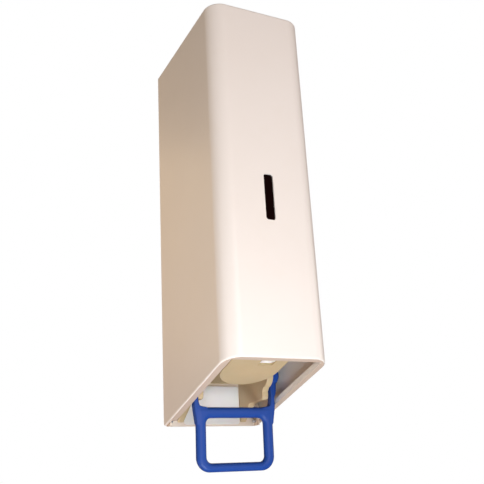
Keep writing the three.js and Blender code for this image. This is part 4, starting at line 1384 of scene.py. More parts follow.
@dataclass
class BackPlate(SubAssembly):
    """Folded wall plate with its mounting holes, catch and ears, and the blank panel on it."""

    sheet: float = 1.5
    bend: float = 1.6
    key_x: float = 22.0
    key_height: float = 120.0
    key_head: float = 5.0
    key_slot: float = 2.6
    key_drop: float = 10.0
    level_height: float = 11.0
    catch_half: float = 3.0
    catch_height: float = 4.4
    hole: float = 1.8
    hinge_hole: float = 1.65
    panel_corner: float = 2.0
    panel_edge: float = 0.3

    def build(self) -> None:
        """Makes the plate and the panel."""
        low, high = box_of("back_plate")
        half, wall, top = high.x, high.y, high.z - self.catch_height
        inner = half - self.sheet
        channel = [
            (-half, wall), (half, wall), (half, low.y), (inner, low.y), (inner, wall - self.sheet),
            (-inner, wall - self.sheet), (-inner, low.y), (-half, low.y),
        ]
        bends = [self.bend, self.bend, 0.4, 0.4, 0.5, 0.5, 0.4, 0.4]
        plate = Solid.drawn(filleted(channel, bends, 5), Axis.Z, low.z, top)
        ledge = Solid.block(
            (-inner - 0.5, low.y + 1.0, top - self.sheet), (inner + 0.5, wall - 0.5, top), 0.3
        )
        catch = Solid.drawn(
            filleted(
                rectangle(-self.catch_half, self.catch_half, top - 1.0, high.z), [0, 0, 0.8, 0.8], 4
            ),
            Axis.Y, low.y + 1.0, low.y + 2.2, 0.2,
        )
        hinge = middle_of("hinge_pin_left")
        ears = Solid.bar(Axis.X, (hinge.y, hinge.z), self.hinge_hole, -FAR, FAR)
        plate = plate.joined(ledge, catch).cut(ears)
        for side, _ in SIDES:
            plate = plate.cut(self.keyhole(side * self.key_x), self.level_slot(side * self.key_x))
        for place in PLATE_SCREWS:
            screw = middle_of(f"chassis_screw_{place}")
            hole = Solid.bar(Axis.Y, (screw.x, screw.z), self.hole, -PAST, PAST, steps=24)
            plate = plate.cut(hole)
        self.solids["wall_plate"] = plate

        low, high = box_of("blank_panel")
        outline = filleted(rectangle(low.x, high.x, low.z, high.z), self.panel_corner)
        panel = Solid.drawn(outline, Axis.Y, low.y, high.y)
        front_edge = on_plane((0, 1, 0), low.y)
        self.solids["blank_panel_sheet"] = panel.rounded(self.panel_edge, front_edge, 3)

    def keyhole(self, x: float) -> Solid:
        """A round head hole with a narrow slot above it.

        Args:
            x: where its middle lies.

        Returns:
            The cutter.
        """
        top = self.key_height + self.key_drop
        neck = arc((x, top), self.key_slot, 0, 180, 12)
        start = 180 - math.degrees(math.acos(self.key_slot / self.key_head))
        head = arc((x, self.key_height), self.key_head, start, 540 - start, 36)
        return Solid.drawn([*neck, *head], Axis.Y, -PAST, PAST)

    def level_slot(self, x: float) -> Solid:
        """A level slot for the lower wall screw.

        Args:
            x: where its middle lies.

        Returns:
            The cutter.
        """
        outline = filleted(
            rectangle(
                x - self.key_head, x + self.key_head, self.level_height - self.key_slot,
                self.level_height + self.key_slot,
            ),
            self.key_slot - 0.05,
        )
        return Solid.drawn(outline, Axis.Y, -PAST, PAST)

    def parts(self) -> list[Part]:
        """The painted plate and the white panel.

        Returns:
            The pieces in order.
        """
        return [
            Part("wall_plate", Body.BASE, PLATE_PAINT, "back_plate"),
            Part("blank_panel_sheet", Body.BASE, WHITE_PLASTIC, "blank_panel"),
        ]


# ---- Chassis and tray ----------------------------------------------------------------------------


@dataclass
class Chassis(SubAssembly):
    """Moulded frame: two cheeks that hold the lever, a web on the plate and the bottle's shelf."""

    cheek_outer: float = 31.5
    cheek: float = 5.5
    nose: float = 10.0
    foot_back: float = 1.0
    foot_gap: float = 4.2
    foot_rear: float = 22.0
    rim_gap: float = 3.0
    head: float = 34.0
    web: float = 3.0
    web_bottom: float = -129.0
    shelf: float = 3.7
    rib: float = 2.5
    rib_drop: float = 9.0
    neck_hole: float = 14.0
    pin_hole: float = 2.65
    screw_hole: float = 1.8
    screw_length: float = 7.1
    cap_gap: float = 2.0
    rib_gap: float = 0.2
    rib_inset: float = 4.0
    plan_corner: float = 4.0
    screw_seat: float = 0.2
    edge: float = 0.7

    def build(self) -> None:
        """Makes the frame and the four screws that hold it to the plate."""
        low, high = box_of("chassis")
        back = high.y
        pivot = middle_of("pivot_pin_left")
        neck = middle_of("bottle_cap")
        shelf_low = box_of("bottle_cap")[1].z + self.cap_gap
        shelf_top = shelf_low + self.shelf
        frame_parts = []
        for side, _ in SIDES:
            inner, outer = sorted((side * (self.cheek_outer - self.cheek), side * self.cheek_outer))
            outline = self.cheek_outline(back, pivot, shelf_top)
            frame_parts.append(Solid.drawn(outline, Axis.X, inner, outer, self.edge))
        web = Solid.block(
            (-self.cheek_outer + 1, back - self.web, self.web_bottom),
            (self.cheek_outer - 1, back, high.z), self.edge,
        )
        plan = filleted(rectangle(low.x, high.x, low.y, back), self.plan_corner)
        frame_parts.append(Solid.drawn(plan, Axis.Z, shelf_low, shelf_top, self.edge))
        rib = box_of("outlet_tray")[1].x + self.rib_gap
        for side, _ in SIDES:
            near, far = sorted((side * rib, side * (rib + self.rib)))
            frame_parts.append(
                Solid.block(
                    (near, low.y + self.rib_inset, shelf_low - self.rib_drop),
                    (far, back - 0.5, shelf_top - 1.5), 0.4,
                )
            )
        screw = middle_of("tray_screw_left")
        neck_low, neck_high = shelf_low - 20, shelf_top + 20
        body = web.joined(*frame_parts).cut(
            Solid.bar(Axis.Z, (neck.x, neck.y), self.neck_hole, neck_low, neck_high, steps=72),
            Solid.bar(Axis.X, (pivot.y, pivot.z), self.pin_hole, -FAR, FAR),
            Solid.bar(Axis.X, (screw.y, screw.z), self.screw_hole, -FAR, FAR, steps=24),
        )
        seat = back - self.web - self.screw_seat
        for place in PLATE_SCREWS:
            middle = middle_of(f"chassis_screw_{place}")
            hole = Solid.bar(Axis.Y, (middle.x, middle.z), self.screw_hole, -12, 5, steps=24)
            body = body.cut(hole)
            self.solids[f"frame_screw_{place}"] = make_screw(self.screw_length).moved(
                Matrix.Translation((middle.x, seat, middle.z))
            )
        self.solids["frame_moulding"] = body

    def cheek_outline(self, back: float, pivot: Vector, top: float) -> Outline:
        """One cheek from the side: a level foot, a nose about the pivot and a head.

        Args:
            back: y of the cheek's back edge.
            pivot: middle of the lever's pin.
            top: height of the shelf's top.

        Returns:
            The outline as (y, z) points.
        """
        nose = arc((pivot.y, pivot.z), self.nose, 90, 262, 22)
        foot = pivot.y + self.foot_back
        rough = [
            (back, RIM.height(back, self.rim_gap)), (back, top), (-self.head, top),
            (-self.head, pivot.z + self.nose + 6), (pivot.y + 4, pivot.z + self.nose),
        ]
        fillets = [0.0, 0.0, 2.0, 2.5, 1.5]
        low = RIM.height(foot, self.foot_gap)
        end = [(foot, pivot.z - self.nose - 2.5), (foot, low), (-self.foot_rear, low)]
        return filleted([*rough, *nose, *end], [*fillets, *[0.0] * len(nose), 1.5, 3.5, 6.0], 5)

    def parts(self) -> list[Part]:
        """The beige frame and its steel screws.

        Returns:
            The pieces in order.
        """
        return [
            Part("frame_moulding", Body.BASE, BEIGE_PLASTIC, "chassis"),
            *(
                Part(f"frame_screw_{place}", Body.BASE, STEEL, f"chassis_screw_{place}")
                for place in PLATE_SCREWS
            ),
        ]


@dataclass
class OutletTray(SubAssembly):
    """Half-round tray under the pump, with the spout's window, held by a screw at each side."""

    sheet: float = 2.0
    curb: float = 7.0
    rim_gap: float = 12.0
    window_width: float = 12.6
    window_length: float = 9.6
    below: float = 10.0
    screw_hole: float = 1.8
    screw_length: float = 7.0
    edge: float = 0.8

    def plan(self, half: float, front: float, straight: float) -> Outline:
        """Straight sides from the front, closed by a half-round end towards the wall."""
        return [(-half, front), (half, front), *arc((0.0, straight), half, 0, 180, 40)]

    def build(self) -> None:
        """Makes the tray and its two screws."""
        low, high = box_of("outlet_tray")
        half, front, top = high.x, low.y, high.z
        straight = high.y - half
        inner = half - self.sheet
        outer = Solid.drawn(self.plan(half, front, straight), Axis.Z, low.z - self.below, top)
        hollow_plan = self.plan(inner, front - PAST, straight)
        hollow = Solid.drawn(hollow_plan, Axis.Z, low.z - 2 * self.below, top + 2 * self.below)
        spout = middle_of("spout")
        screw = middle_of("tray_screw_left")
        wide, long = self.window_width / 2, self.window_length / 2
        window = filleted(
            rectangle(spout.x - wide, spout.x + wide, spout.y - long, spout.y + long), 1.0, 5
        )
        wall = outer.cut(hollow)
        run = Solid.block((-FAR, front - 1, -FAR), (FAR, straight, FAR))
        gap = self.rim_gap
        sides = wall.common(run).cut(RIM.slab(-FAR, gap))
        tray = outer.common(RIM.slab(gap, gap + self.sheet))
        tray = tray.joined(wall.common(RIM.slab(gap, gap + self.curb)), sides)
        tray = tray.rounded(self.edge, RIM.edges(gap), 4)
        self.solids["tray_moulding"] = tray.cut(
            Solid.drawn(window, Axis.Z, low.z - 3 * self.below, spout.z),
            Solid.bar(Axis.X, (screw.y, screw.z), self.screw_hole, -FAR, FAR, steps=24),
        )
        for side, hand in SIDES:
            low, high = box_of(f"tray_screw_{hand}")
            centre = middle_of(f"tray_screw_{hand}")
            seat = high.x - SCREW_HEAD if side > 0 else low.x + SCREW_HEAD
            self.solids[f"tray_fixing_{hand}"] = make_screw(self.screw_length).moved(
                Matrix.Translation((seat, centre.y, centre.z))
                @ Matrix.Rotation(side * math.pi / 2, 4, "Z")
            )

    def parts(self) -> list[Part]:
        """The beige tray and its steel screws.

        Returns:
            The pieces in order.
        """
        return [
            Part("tray_moulding", Body.BASE, BEIGE_PLASTIC, "outlet_tray"),
            *(
                Part(f"tray_fixing_{hand}", Body.BASE, STEEL, f"tray_screw_{hand}")
                for _, hand in SIDES
            ),
        ]


# ---- Bottle --------------------------------------------------------------------------------------


@dataclass
class SoapBottle(SubAssembly):
    """Blow-moulded bottle, neck down, with its ribbed cap and gasket."""

    corner: float = 15.0
    shoulder: float = 7.0
    neck_radius: float = 12.4
    neck_bore: float = 9.0
    neck_bore_depth: float = 26.2
    cap_radius: float = 17.2
    cap_ribs: int = 40
    cap_floor: float = 1.8
    cap_bore: float = 8.2
    seam: float = 0.35
    seat_gap: float = 5.9
    inset: float = 0.3
    gasket_bore: float = 4.4
    mark_half: float = 6.0
    mark_heights: tuple[float, ...] = (-40.0, 0.0, 40.0, 80.0)

    def build(self) -> None:
        """Makes the bottle, cap and gasket."""
        low, high = box_of("bottle")
        cap_low, cap_high = box_of("bottle_cap")
        neck = middle_of("bottle_cap")
        seat = cap_high.z + self.seat_gap
        inset = self.inset
        plan = filleted(
            rectangle(low.x + inset, high.x - inset, low.y + inset, high.y - inset), self.corner, 12
        )
        body = Solid.drawn(plan, Axis.Z, seat, high.z).rounded(self.shoulder, steps=6)
        centre = (neck.x, neck.y)
        profile = [
            (0.0, low.z), (self.neck_radius - 0.6, low.z), (self.neck_radius, low.z + 0.6),
            (self.neck_radius, seat + 2), (0.0, seat + 2),
        ]
        bottle = body.joined(Solid.turned(profile, Axis.Z, centre, 64))
        middle = (low.y + high.y) / 2
        parting = filleted(
            rectangle(low.x, high.x, middle - self.seam, middle + self.seam), self.seam * 0.8, 3
        )
        line = Solid.drawn(parting, Axis.Z, seat + self.shoulder, high.z - self.shoulder)
        bottle = bottle.joined(line)
        for height in self.mark_heights:
            bottle = bottle.joined(Solid.block(
                (-self.mark_half, low.y, height - 0.5), (self.mark_half, low.y + 1.0, height + 0.5),
                0.25,
            ))
        bore = Solid.bar(Axis.Z, centre, self.neck_bore, low.z - 10, low.z + self.neck_bore_depth)
        self.solids["soap_bottle"] = bottle.cut(bore)
        self.solids["ribbed_cap"] = self.make_cap(cap_low, cap_high, centre)
        low, high = box_of("neck_gasket")
        ring = rectangle(self.gasket_bore, high.x, low.z, high.z)
        self.solids["gasket_ring"] = Solid.turned(ring, Axis.Z, centre, 56, 0.35)

    def make_cap(self, low: Vector, high: Vector, centre: Point) -> Solid:
        """The cap: a ribbed skirt with a plain band below it and a hole for the pump's inlet.

        Args:
            low: lowest corner of the cap's node.
            high: its highest corner.
            centre: the bottle's centre line, as (x, y).

        Returns:
            The cap.
        """
        outline: Outline = []
        for k in range(self.cap_ribs * 4):
            radius = high.x if k % 4 in (1, 2) else self.cap_radius
            angle = math.pi * k / (self.cap_ribs * 2)
            across, along = radius * math.cos(angle), radius * math.sin(angle)
            outline.append((centre[0] + across, centre[1] + along))
        skirt = Solid.drawn(outline, Axis.Z, low.z + 1.2, high.z - 0.8)
        floor = low.z + self.cap_floor
        sleeve = self.neck_radius + 0.2
        cup = rectangle(0.0, self.cap_radius - 0.2, low.z, high.z)
        hollow = rectangle(0.0, sleeve, floor, high.z + PAST)
        return skirt.joined(Solid.turned(cup, Axis.Z, centre, 80, 0.5)).cut(
            Solid.turned(hollow, Axis.Z, centre, 64),
            Solid.bar(Axis.Z, centre, self.cap_bore, low.z - PAST, floor + 1),
        )

    def parts(self) -> list[Part]:
        """The milky bottle, the white cap and the rubber gasket.

        Returns:
            The pieces in order.
        """
        return [
            Part("soap_bottle", Body.BASE, BOTTLE_PLASTIC, "bottle"),
            Part("ribbed_cap", Body.BASE, WHITE_PLASTIC, "bottle_cap"),
            Part("gasket_ring", Body.BASE, RUBBER, "neck_gasket"),
        ]


# ---- Pump ----------------------------------------------------------------------------------------


@dataclass
class Pump(SubAssembly):
    """Pump that lies front to back under the bottle: body, valves and spout, and its plunger."""

    barrel_radius: float = 10.0
    barrel_length: float = 26.0
    bore: float = 7.5
    floor: float = 3.0
    inlet_radius: float = 8.0
    inlet_bore: float = 2.4
    chamber: float = 4.4
    ball_seat: float = 9.0
    outlet_bore: float = 2.2
    cap_length: float = 2.5
    rod_radius: float = 3.6
    groove: float = 1.4
    wire: float = 0.45
    spring_radius: float = 5.4
    spring_turns: int = 5
    stroke: float = 8.4
    spout_bore: float = 3.0
    flange_radius: float = 12.2
    flange: float = 2.8
    block_half: float = 8.0
    block_left: float = 6.4
    block_right: float = 5.5
    barrel_reach: float = 13.0
    seal_width: float = 1.3
    push_radius: float = 7.0
    piston: float = 6.0
    valve_bore: float = 1.2
    valve_lips: float = 2.6
    mouth_flare: float = 0.9

    def build(self) -> None:
        """Makes the pump's pieces but its spring."""
        low, high = box_of("pump_body")
        plunger = middle_of("plunger")
        neck = middle_of("bottle_cap")
        spout = middle_of("spout")
        axis = (plunger.x, plunger.z)
        self.solids["pump_moulding"] = self.make_body(low, high, axis, (neck.x, neck.y), spout)
        self.solids["plunger_moulding"] = self.make_plunger(axis)
        seal_low, seal_high = box_of("piston_seal")
        outer = (seal_high.z - seal_low.z) / 2
        ring = rectangle(outer - self.seal_width, outer, seal_low.y, seal_high.y)
        self.solids["seal_ring"] = Solid.turned(ring, Axis.Y, axis, 48, 0.5)
        self.solids["valve_ball"] = self.make_ball()
        self.solids["duck_valve"] = self.make_valve(spout)
        self.solids["spout_nozzle"] = self.make_spout(spout)

    def make_body(
        self, low: Vector, high: Vector, axis: Point, neck: Point, spout: Vector
    ) -> Solid:
        """Barrel, inlet under the bottle's neck, and the block that turns down to the spout.

        Args:
            low: lowest corner of the body's node.
            high: its highest corner.
            axis: the barrel's centre line, as (x, z).
            neck: the bottle's centre line, as (x, y).
            spout: middle of the nozzle.

        Returns:
            The body with all its bores.
        """
        rear = self.barrel_rear()
        front = rear - self.barrel_length
        floor = front + self.floor
        flange = rectangle(0.0, self.flange_radius, high.z - self.flange, high.z)
        block_low = Vector((-self.block_left, low.y, axis[1] - self.block_half))
        block_high = Vector(
            (min(high.x, spout.x + self.block_right), front + 1, axis[1] + self.block_half)
        )
        body = Solid.bar(Axis.Y, axis, self.barrel_radius, front, rear, 0.6, 56).joined(
            Solid.bar(Axis.Z, neck, self.inlet_radius, axis[1], high.z - 1, 0.0, 48),
            Solid.turned(flange, Axis.Z, neck, 56, 0.4),
            Solid.block(block_low, block_high, 0.9),
        )
        return body.cut(
            Solid.bar(Axis.Y, axis, self.bore, floor, rear + 9, 0.0, 56),
            Solid.bar(Axis.Y, axis, self.outlet_bore, spout.y, floor + 1, 0.0, 24),
            Solid.bar(Axis.X, (spout.y, axis[1]), self.outlet_bore, 0, spout.x, 0.0, 24),
            Solid.bar(Axis.Z, (spout.x, spout.y), self.outlet_bore, axis[1] - 20, axis[1], 0.0, 24),
            Solid.bar(Axis.Z, neck, self.inlet_bore, axis[1], high.z + PAST, 0.0, 24),
            Solid.bar(Axis.Z, neck, self.chamber, axis[1] + self.ball_seat, high.z - 1.2, 0.0, 32),
        )

    def barrel_rear(self) -> float:
        """Where the barrel's open end stands, from the bottle's neck over it."""
        return middle_of("bottle_cap").y + self.barrel_reach

    def make_plunger(self, axis: Point) -> Solid:
        """Push cap, rod and piston head as one turned piece with a groove for its seal.

        Args:
            axis: the barrel's centre line, as (x, z).

        Returns:
            The plunger.
        """
        low, high = box_of("plunger")
        head = self.bore - 0.15
        seal_low, seal_high = box_of("piston_seal")
        groove = head - self.groove
        cap = min((high.z - low.z) / 2, self.push_radius)
        piston = low.y + self.piston
        profile = [
            (0.0, low.y), (head, low.y), (head, seal_low.y - 0.1), (groove, seal_low.y - 0.1),
            (groove, seal_high.y + 0.1), (head, seal_high.y + 0.1), (head, piston),
            (self.rod_radius, piston), (self.rod_radius, high.y - self.cap_length),
            (cap, high.y - self.cap_length), (cap, high.y), (0.0, high.y),
        ]
        return Solid.turned(profile, Axis.Y, axis, 56, 0.35)

    def make_ball(self) -> Solid:
        """Inlet ball.

        Returns:
            The ball.
        """
        low, high = box_of("inlet_ball")
        middle = middle_of("inlet_ball")
        radius = (high.z - low.z) / 2
        profile = arc((0.0, middle.z), radius, -90, 90, 24)
        profile[0], profile[-1] = (0.0, low.z), (0.0, high.z)
        return Solid.turned(profile, Axis.Z, (middle.x, middle.y), 40)

    def make_valve(self, spout: Vector) -> Solid:
        """Rubber outlet valve that narrows to its lips.

        Args:
            spout: middle of the nozzle.

        Returns:
            The valve.
        """
        low, high = box_of("outlet_valve")
        radius = (high.x - low.x) / 2
        profile = [
            (self.valve_bore, low.z), (radius * 0.62, low.z), (radius, low.z + self.valve_lips),
            (radius, high.z), (self.valve_bore, high.z),
        ]
        return Solid.turned(profile, Axis.Z, (spout.x, spout.y), 40, 0.25)

    def make_spout(self, spout: Vector) -> Solid:
        """Square nozzle with a rounded mouth and a round bore.

        Args:
            spout: middle of the nozzle.

        Returns:
            The nozzle.
        """
        low, high = box_of("spout")
        outline = filleted(rectangle(low.x, high.x, low.y, high.y), 1.5, 6)
        nozzle = Solid.drawn(outline, Axis.Z, low.z, high.z, 0.5)
        mouth = self.spout_bore + self.mouth_flare
        flare = [
            (0.0, low.z - 1), (mouth, low.z - 1), (mouth, low.z),
            (self.spout_bore, low.z + self.mouth_flare), (self.spout_bore, high.z + 2),
            (0.0, high.z + 2),
        ]
        return nozzle.cut(Solid.turned(flare, Axis.Z, (spout.x, spout.y), 48))

    def make_spring(self) -> bpy.types.Object:
        """Return spring as a wound wire with flat end turns.

        Returns:
            The spring, in the scene and in steel.
        """
        low, high = box_of("return_spring")
        middle = middle_of("return_spring")
        start, end = high.y - self.wire, low.y + self.wire
        turns = self.spring_turns + 1.5
        count = int(turns * 20)
        curve = bpy.data.curves.new("spring_wire", "CURVE")
        curve.dimensions = "3D"
        curve.bevel_depth, curve.bevel_resolution = self.wire * MM, 3
        curve.use_fill_caps = True
        line = curve.splines.new("POLY")
        line.points.add(count)
        for k in range(count + 1):
            share = k / count
            rise = min(1.0, max(0.0, (share - 0.1) / 0.8))
            angle = 2 * math.pi * turns * share
            x = middle.x + self.spring_radius * math.cos(angle)
            z = middle.z + self.spring_radius * math.sin(angle)
            line.points[k].co = (x * MM, (start + (end - start) * rise) * MM, z * MM, 1.0)
        winding = bpy.data.objects.new("winding", curve)
        mesh = bpy.data.meshes.new_from_object(winding)
        bpy.data.objects.remove(winding)
        mesh.materials.append(STEEL.material())
        return placed("spring_wire", mesh)

    def compress(self, spring: bpy.types.Object) -> None:
        """Gives the spring a mesh of its own; the spring keeps its full length.

        Args:
            spring: the spring, at its full length.
        """
        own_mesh(spring)

    def parts(self) -> list[Part]:
        """The white pump, its rubber seals and its steel ball.

        Returns:
            The pieces in order.
        """
        return [
            Part("pump_moulding", Body.BASE, WHITE_PLASTIC, "pump_body"),
            Part("plunger_moulding", Body.PLUNGER, WHITE_PLASTIC, "plunger"),
            Part("seal_ring", Body.PLUNGER, RUBBER, "piston_seal"),
            Part("valve_ball", Body.BASE, STEEL, "inlet_ball"),
            Part("duck_valve", Body.BASE, RUBBER, "outlet_valve"),
            Part("spout_nozzle", Body.BASE, WHITE_PLASTIC, "spout"),
        ]

    def dress(self) -> list[bpy.types.Object]:
        """Shows the pieces, and adds the spring.

        Returns:
            The pieces, the spring last.
        """
        pieces = super().dress()
        spring = adopt(self.make_spring(), Body.BASE, STEEL, "return_spring")
        self.compress(spring)
        pieces.append(spring)
        return pieces


# ---- Lever ---------------------------------------------------------------------------------------


@dataclass
class RingLever(SubAssembly):
    """Moulded lever: a finger ring below, two arms past the rim, and a presser bar at the top."""

    tilt: float = 2.2
    thickness: float = 7.0
    bar_rounding: float = 3.3
    ring_half: float = 33.4
    ring_top: float = 25.4
    ring_height: float = 49.0
    side_bar: float = 8.2
    top_bar: float = 8.4
    bottom_bar: float = 6.8
    ring_corner: float = 11.0
    shoulder_corner: float = 4.0
    inner_corner: float = 4.5
    rim_pass: float = 35.5
    arm_outer: float = 38.5
    arm_width: float = 6.5
    arm_half: float = 3.0
    arm_edge: float = 2.2
    waist: float = 37.2
    flare_low: float = 18.0
    flare_high: float = 13.0
    boss_foot: float = 6.5
    boss: float = 6.4
    presser_rise: float = 24.0
    presser: float = 4.0
    pin_hole: float = 2.65
    presser_inset: float = 1.0
    bar_edge: float = 0.6
    voxel: float = 0.5
    smoothing: int = 5

    def build(self) -> None:
        """Makes the lever about its pivot, then tilts it and takes it to its place."""
        parts = [self.make_arm(side) for side, _ in SIDES]
        for side, _ in SIDES:
            inner, outer = sorted((side * (self.arm_outer - self.arm_width), side * self.arm_outer))
            parts.append(Solid.bar(Axis.X, (0.0, 0.0), self.boss, inner, outer, self.bar_edge, 48))
        reach, rise = self.arm_outer - self.presser_inset, self.presser_rise
        parts.append(Solid.bar(Axis.X, (0.0, rise), self.presser, -reach, reach, self.bar_edge, 48))
        lever = self.make_ring().joined(*parts).moulded(self.voxel, self.smoothing)
        lever = lever.cut(Solid.bar(Axis.X, (0.0, 0.0), self.pin_hole, -FAR, FAR, 0.0, 48))
        pivot = middle_of("pivot_pin_left")
        place = Matrix.Translation((0.0, pivot.y, pivot.z))
        self.solids["finger_lever"] = lever.moved(
            place @ Matrix.Rotation(math.radians(self.tilt), 4, "X")
        )

    def ring_loop(self, outer: bool, inset: float, y: float) -> list[Vector]:
        """The ring's outer or inner outline, moved into the bar by `inset`, at depth y.

        Args:
            outer: True for the outer outline.
            inset: how far it moves into the bar.
            y: depth of the loop.

        Returns:
            The points of the loop.
        """
        top, bottom = -self.ring_top, -self.ring_top - self.ring_height
        if outer:
            half = self.ring_half - inset
            box = rectangle(-half, half, bottom + inset, top - inset)
            low, high = self.ring_corner - inset, self.shoulder_corner - inset
        else:
            half = self.ring_half - self.side_bar + inset
            box = rectangle(
                -half, half, bottom + self.bottom_bar - inset, top - self.top_bar + inset
            )
            low = high = self.inner_corner + inset
        outline = filleted(box, [low, low, high, high], 10)
        return [Vector((x, y, z)) for x, z in outline]

    def make_ring(self) -> Solid:
        """The finger ring, its bars rounded front and back.

        Returns:
            The ring, its top bar centred below the pivot.
        """
        half, radius = self.thickness / 2, self.bar_rounding
        quarter = [math.pi / 2 * k / 5 for k in range(6)]
        turn = [(radius * (1 - math.cos(t)), half - radius + radius * math.sin(t)) for t in quarter]
        loops = [self.ring_loop(True, inset, -y) for inset, y in turn]
        loops += [self.ring_loop(False, inset, -y) for inset, y in reversed(turn)]
        loops += [self.ring_loop(False, inset, y) for inset, y in turn]
        loops += [self.ring_loop(True, inset, y) for inset, y in reversed(turn)]
        return Solid.lofted(loops)

    def make_arm(self, side: int) -> Solid:
        """One arm: out of the ring's shoulder, past the rim, then out to stand by the cheek.

        Args:
            side: -1 for the left, 1 for the right.

        Returns:
            The arm.
        """
        inner = self.arm_outer - self.arm_width
        top = self.presser_rise + self.presser
        root = -self.ring_top - self.top_bar
        points = [
            (self.ring_half - self.side_bar + 1, root + 3), (self.ring_half - 2, root - 5),
            (self.ring_half, root - 5), (self.rim_pass, -self.ring_top),
            (self.rim_pass, -self.flare_low), (self.waist, -self.flare_high),
            (self.waist, -self.boss_foot), (self.arm_outer, -self.boss_foot + 2),
            (self.arm_outer, top), (inner, top), (inner, -self.flare_low),
            (inner - 1.2, -self.ring_top + 1), (self.ring_half - self.side_bar - 1, -self.ring_top),
        ]
        radii = [0.0, 0.0, 2.0, 4.0, 1.5, 1.5, 0.5, 0.5, 2.5, 1.0, 2.5, 2.0, 0.0]
        outline = mirrored(filleted(points, radii, 6), side)
        return Solid.drawn(outline, Axis.Y, -self.arm_half, self.arm_half, self.arm_edge)

    def parts(self) -> list[Part]:
        """The blue lever."""
        return [Part("finger_lever", Body.LEVER, BLUE_PLASTIC, "lever", 50.0)]


@dataclass
class PivotPins(SubAssembly):
    """Headed pins through the lever's arms and the cheeks, each held by an open clip."""

    radius: float = 2.5
    head_radius: float = 4.2
    head: float = 1.2
    clip_radius: float = 4.6
    clip_mouth: float = 1.75

    def build(self) -> None:
        """Makes both pins and clips."""
        for side, hand in SIDES:
            low, high = box_of(f"pivot_pin_{hand}")
            centre = middle_of(f"pivot_pin_{hand}")
            outer, inner = (high.x, low.x) if side > 0 else (low.x, high.x)
            step = side * self.head
            profile = [
                (0.0, inner), (self.radius - 0.4, inner), (self.radius, inner + side * 0.5),
                (self.radius, outer - step), (self.head_radius, outer - step),
                (self.head_radius, outer - side * 0.4), (self.head_radius - 0.5, outer),
                (0.0, outer),
            ]
            axis = (centre.y, centre.z)
            self.solids[f"lever_pin_{hand}"] = Solid.turned(profile, Axis.X, axis, 48)
            self.solids[f"lever_clip_{hand}"] = self.make_clip(f"pivot_clip_{hand}", axis)

    def make_clip(self, node: str, centre: Point) -> Solid:
        """An open clip with rounded legs.

        Args:
            node: the clip's node.
            centre: the pin's centre line, as (y, z).

        Returns:
            The clip.
        """
        low, high = box_of(node)
        bore = self.radius + 0.05
        open_turn = math.degrees(math.asin(self.clip_mouth / self.clip_radius))
        inner_turn = math.degrees(math.asin(self.clip_mouth / bore))
        outer = arc(centre, self.clip_radius, -90 + open_turn, 270 - open_turn, 36)
        inner = arc(centre, bore, 270 - inner_turn, -90 + inner_turn, 28)
        return Solid.drawn([*outer, *inner], Axis.X, low.x, high.x, 0.12)

    def parts(self) -> list[Part]:
        """The pins and clips, all in steel.

        Returns:
            The pieces in order.
        """
        return [
            Part(f"lever_{kind}_{hand}", Body.BASE, STEEL, f"pivot_{kind}_{hand}")
            for _, hand in SIDES
            for kind in ("pin", "clip")
        ]


# ---- Studio --------------------------------------------------------------------------------------


@dataclass(frozen=True)
class SoftBox:
    """A square area light that faces a point."""

    name: str
    place: tuple[float, float, float]
    size: float
    watts: float
    colour: Colour

    def hang(self, target: Vector) -> None:
        """Hangs the light.

        Args:
            target: the point that it faces.
        """
        lamp = bpy.data.lights.new(self.name, "AREA")
        lamp.shape, lamp.size = "SQUARE", self.size
        lamp.energy, lamp.color = self.watts, self.colour
        stand = placed(self.name, lamp)
        stand.location = self.place
        stand.rotation_euler = (target - Vector(self.place)).to_track_quat("-Z", "Y").to_euler()


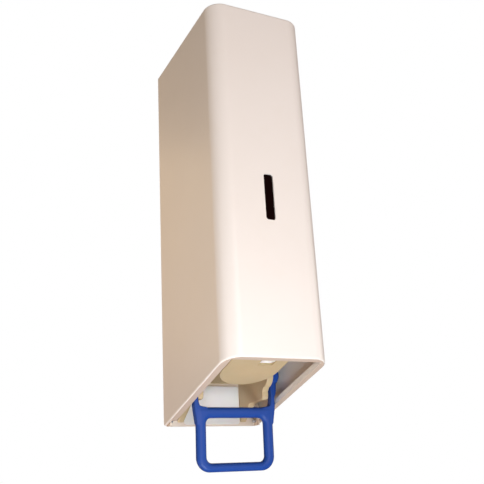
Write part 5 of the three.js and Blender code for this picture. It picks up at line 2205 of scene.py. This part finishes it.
@dataclass
class Studio:
    """Plain pale floor, soft boxes, a white surround and the camera below the object's left."""

    floor_height: float = -1.15
    floor_size: float = 9.0
    floor_lift: float = 0.6
    floor_dark: Colour = (0.80, 0.79, 0.775)
    floor_pale: Colour = (0.83, 0.82, 0.805)
    light_target: tuple[float, float, float] = (0.0, -0.06, -0.02)
    camera_place: tuple[float, float, float] = (-0.2554, -0.5827, -0.2231)
    camera_target: tuple[float, float, float] = (0.03855, 0.0, 0.0051)
    roll: float = -3.199
    lens: float = 54.43
    surround: float = 0.15
    surround_colour: Colour = (1.0, 0.83, 0.73)
    boxes: tuple[SoftBox, ...] = (
        SoftBox("front_box", (0.05, -0.90, -0.05), 0.5, 3.0, (1.0, 0.84, 0.80)),
        SoftBox("low_front_box", (-0.16, -0.55, -0.60), 0.3, 4.8, (0.86, 0.93, 1.0)),
        SoftBox("rear_left_box", (-0.26, 0.20, 0.08), 0.3, 0.32, (1.0, 0.73, 0.42)),
        SoftBox("low_left_box", (-0.45, 0.15, -0.50), 0.4, 0.95, (1.0, 0.65, 0.45)),
        SoftBox("left_box", (-0.80, -0.45, 0.0), 0.5, 1.1, (1.0, 0.86, 0.72)),
        SoftBox("right_box", (1.00, -0.45, 0.0), 0.6, 2.0, (1.0, 0.97, 0.92)),
        SoftBox("top_box", (-0.20, -0.30, 1.20), 0.8, 1.6, (1.0, 1.0, 1.0)),
    )

    def build(self) -> None:
        """Sets up the floor, the lights, the surround and the camera."""
        self.lay_floor()
        for box in self.boxes:
            box.hang(Vector(self.light_target))
        self.light_surround()
        self.set_camera()

    def lay_floor(self) -> None:
        """A pale floor with a very slow unevenness."""
        steps, half = 24, self.floor_size / 2
        work = bmesh.new()
        bmesh.ops.create_grid(work, x_segments=steps, y_segments=steps, size=half)
        mesh = bpy.data.meshes.new("floor")
        work.to_mesh(mesh)
        work.free()
        shader = Shader("pale_floor")
        shade = shader.ranged(shader.noise(1.5, 3.0), 0.0, 1.0)
        pale = shader.mixed(shade, self.floor_dark, self.floor_pale)
        seen = shader.node("ShaderNodeLightPath").outputs["Is Camera Ray"]
        shader.set(
            Base_Color=pale, Roughness=0.7, Emission_Color=pale,
            Emission_Strength=shader.math("MULTIPLY", seen, self.floor_lift),
        )
        mesh.materials.append(shader.material)
        floor = placed("floor", mesh)
        floor.location.z = self.floor_height
        log.info("floor at %.2f m", self.floor_height)

    def light_surround(self) -> None:
        """White behind the object, and a dimmer even light on it."""
        world = bpy.data.worlds.new("surround")
        world.use_nodes = True
        bpy.context.scene.world = world
        tree = world.node_tree
        tree.nodes.clear()
        out = tree.nodes.new("ShaderNodeOutputWorld")
        blend = tree.nodes.new("ShaderNodeMixShader")
        seen = tree.nodes.new("ShaderNodeLightPath")
        even = tree.nodes.new("ShaderNodeBackground")
        white = tree.nodes.new("ShaderNodeBackground")
        even.inputs["Color"].default_value = (*self.surround_colour, 1.0)
        even.inputs["Strength"].default_value = self.surround
        white.inputs["Color"].default_value = (1.0, 1.0, 1.0, 1.0)
        tree.links.new(seen.outputs["Is Camera Ray"], blend.inputs[0])
        tree.links.new(even.outputs[0], blend.inputs[1])
        tree.links.new(white.outputs[0], blend.inputs[2])
        tree.links.new(blend.outputs[0], out.inputs[0])

    def set_camera(self) -> None:
        """The camera, looking up at the object from its left."""
        camera = bpy.data.cameras.new("camera")
        camera.lens, camera.sensor_width = self.lens, 36.0
        camera.clip_start, camera.clip_end = 0.02, 50.0
        camera.dof.use_dof = False
        stand = placed("camera", camera)
        place, target = Vector(self.camera_place), Vector(self.camera_target)
        back = (place - target).normalized()
        right = Vector((0.0, 0.0, 1.0)).cross(back).normalized()
        up = back.cross(right)
        basis = Matrix((right, up, back)).transposed().to_4x4()
        roll = Matrix.Rotation(math.radians(self.roll), 4, "Z")
        stand.matrix_world = Matrix.Translation(place) @ basis @ roll
        bpy.context.scene.camera = stand
        bpy.context.scene.view_settings.view_transform = "Standard"


# ---- Assembly ------------------------------------------------------------------------------------


def main() -> None:
    """Builds and dresses each sub-assembly in turn, and then the studio."""
    logging.basicConfig(level=logging.INFO, format="%(name)s: %(message)s")
    assemblies: list[SubAssembly] = [
        BackPlate(), Chassis(), OutletTray(), SoapBottle(), Pump(), RingLever(), PivotPins(),
        Cover(), CoverLock(),
    ]
    for assembly in assemblies:
        assembly.build()
        pieces = assembly.dress()
        log.info("%s: %d pieces", type(assembly).__name__, len(pieces))
    Studio().build()


if __name__ == "__main__":
    main()
